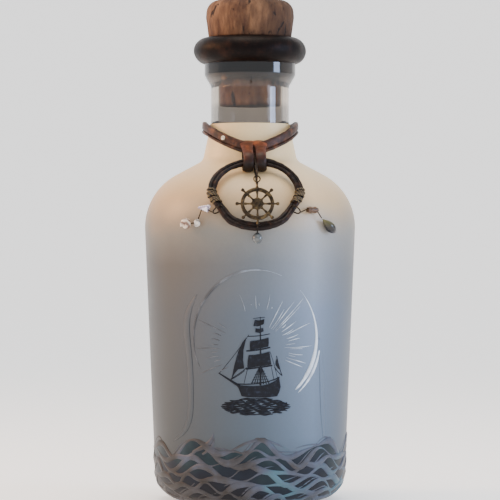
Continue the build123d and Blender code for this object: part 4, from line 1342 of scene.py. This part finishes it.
class BOTTLE_OT_wires(bpy.types.Operator):
    """Give the link and the charms' wires their bronze"""
    bl_idname = "bottle.wires"
    bl_label = "Wires"

    def execute(self, context):
        bronze = aged_bronze("dark_bronze", "#0d0a08", "#1f1812", "#43372a")
        for node in ("charm_link", "left_charm_wire", "right_charm_wire", "drop_ring"):
            piece = frame["nodes"][node]
            for slot in piece.material_slots:
                slot.material = bronze
        return {"FINISHED"}


# ---------------------------------------------------------------------------
# Operator: stage
# ---------------------------------------------------------------------------

class BOTTLE_OT_stage(bpy.types.Operator):
    """Make the floor, the lights and the camera"""
    bl_idname = "bottle.stage"
    bl_label = "Stage"

    def execute(self, context):
        scene = context.scene
        floor = bmesh.new()
        reach, rise = 3.0, 4
        bmesh.ops.create_grid(floor, x_segments=1, y_segments=1, size=reach)
        back = [edge for edge in floor.edges if all(vert.co.y > reach - 0.1 for vert in edge.verts)]
        risen = bmesh.ops.extrude_edge_only(floor, edges=back)["geom"]
        verts = [item for item in risen if isinstance(item, bmesh.types.BMVert)]
        bmesh.ops.translate(floor, vec=(0, 0, rise), verts=verts)
        bend = [edge for edge in floor.edges
                if all(abs(vert.co.y - reach) < 0.01 and vert.co.z < 0.01 for vert in edge.verts)]
        bmesh.ops.bevel(floor, geom=bend, offset=1.2, segments=12, affect="EDGES", profile=0.5, material=-1)
        mesh = bpy.data.meshes.new("floor")
        floor.to_mesh(mesh)
        floor.free()
        mesh.shade_smooth()
        paper, _, shader, _ = start_material("paper_sweep")
        shader.inputs["Base Color"].default_value = linear("#f4f3f1")
        shader.inputs["Roughness"].default_value = 0.9
        shader.inputs["Emission Color"].default_value = linear("#ffffff")
        shader.inputs["Emission Strength"].default_value = 0.5
        mesh.materials.append(paper)
        sweep = bpy.data.objects.new("floor", mesh)
        scene.collection.objects.link(sweep)

        world = bpy.data.worlds.new("studio")
        world.use_nodes = True
        sky = world.node_tree.nodes["Background"]
        sky.inputs["Color"].default_value = linear("#f2f4f8")
        sky.inputs["Strength"].default_value = 1.25
        scene.world = world

        aim = Vector((0, 0, 0.12))
        for name, place, size, power, colour in (
                ("key", (-1.0, 0.1, 0.55), 0.4, 10.0, "#ffc08a"),
                ("fill", (1.0, -0.42, 0.30), 0.35, 7.0, "#bcd4ff"),
                ("top", (-0.1, -0.1, 1.1), 0.6, 8.0, "#fff0dc")):
            light = bpy.data.lights.new(name, "AREA")
            light.size = size
            light.energy = power
            light.color = linear(colour)[:3]
            lamp = bpy.data.objects.new(name, light)
            lamp.location = place
            lamp.rotation_euler = (aim - Vector(place)).to_track_quat("-Z", "Y").to_euler()
            scene.collection.objects.link(lamp)

        camera = bpy.data.objects.new("camera", bpy.data.cameras.new("camera"))
        camera.data.lens = 210.0
        camera.data.sensor_width = 36.0
        angle, distance, height = math.radians(-3.5), 1.39, 118.6 * MM
        camera.location = (math.sin(angle) * distance, -math.cos(angle) * distance, height)
        camera.rotation_euler = (math.pi / 2, 0, angle)
        scene.collection.objects.link(camera)
        scene.camera = camera
        return {"FINISHED"}


class BOTTLE_PT_panel(bpy.types.Panel):
    """The sizes, the colours and the steps, in the order they are made"""
    bl_label = "Corked Bottle"
    bl_idname = "BOTTLE_PT_panel"
    bl_space_type = "VIEW_3D"
    bl_region_type = "UI"
    bl_category = "Bottle"

    def draw(self, context):
        for group in ("bottle_sizes", "picture_sizes", "coat_colours"):
            values = getattr(context.scene, group)
            column = self.layout.column(align=True)
            for name in values.bl_rna.properties.keys():
                if name not in ("rna_type", "name"):
                    column.prop(values, name)
        for operator in OPERATORS:
            self.layout.operator(operator.bl_idname)


GROUPS = {"bottle_sizes": BottleSizes, "picture_sizes": PictureSizes, "coat_colours": Colours}
OPERATORS = (BOTTLE_OT_stage, BOTTLE_OT_glass, BOTTLE_OT_coat, BOTTLE_OT_cork, BOTTLE_OT_lip_ring,
             BOTTLE_OT_medallion, BOTTLE_OT_ship, BOTTLE_OT_waves, BOTTLE_OT_strap, BOTTLE_OT_loop,
             BOTTLE_OT_wheel, BOTTLE_OT_shells, BOTTLE_OT_drops, BOTTLE_OT_wires)


def register():
    for name, group in GROUPS.items():
        bpy.utils.register_class(group)
        setattr(bpy.types.Scene, name, bpy.props.PointerProperty(type=group))
    for item in OPERATORS + (BOTTLE_PT_panel,):
        bpy.utils.register_class(item)


def unregister():
    for item in reversed(OPERATORS + (BOTTLE_PT_panel,)):
        bpy.utils.unregister_class(item)
    for name, group in GROUPS.items():
        delattr(bpy.types.Scene, name)
        bpy.utils.unregister_class(group)


def main():
    register()
    for operator in OPERATORS:
        family, name = operator.bl_idname.split(".")
        getattr(getattr(bpy.ops, family), name)()


if __name__ == "__main__":
    main()
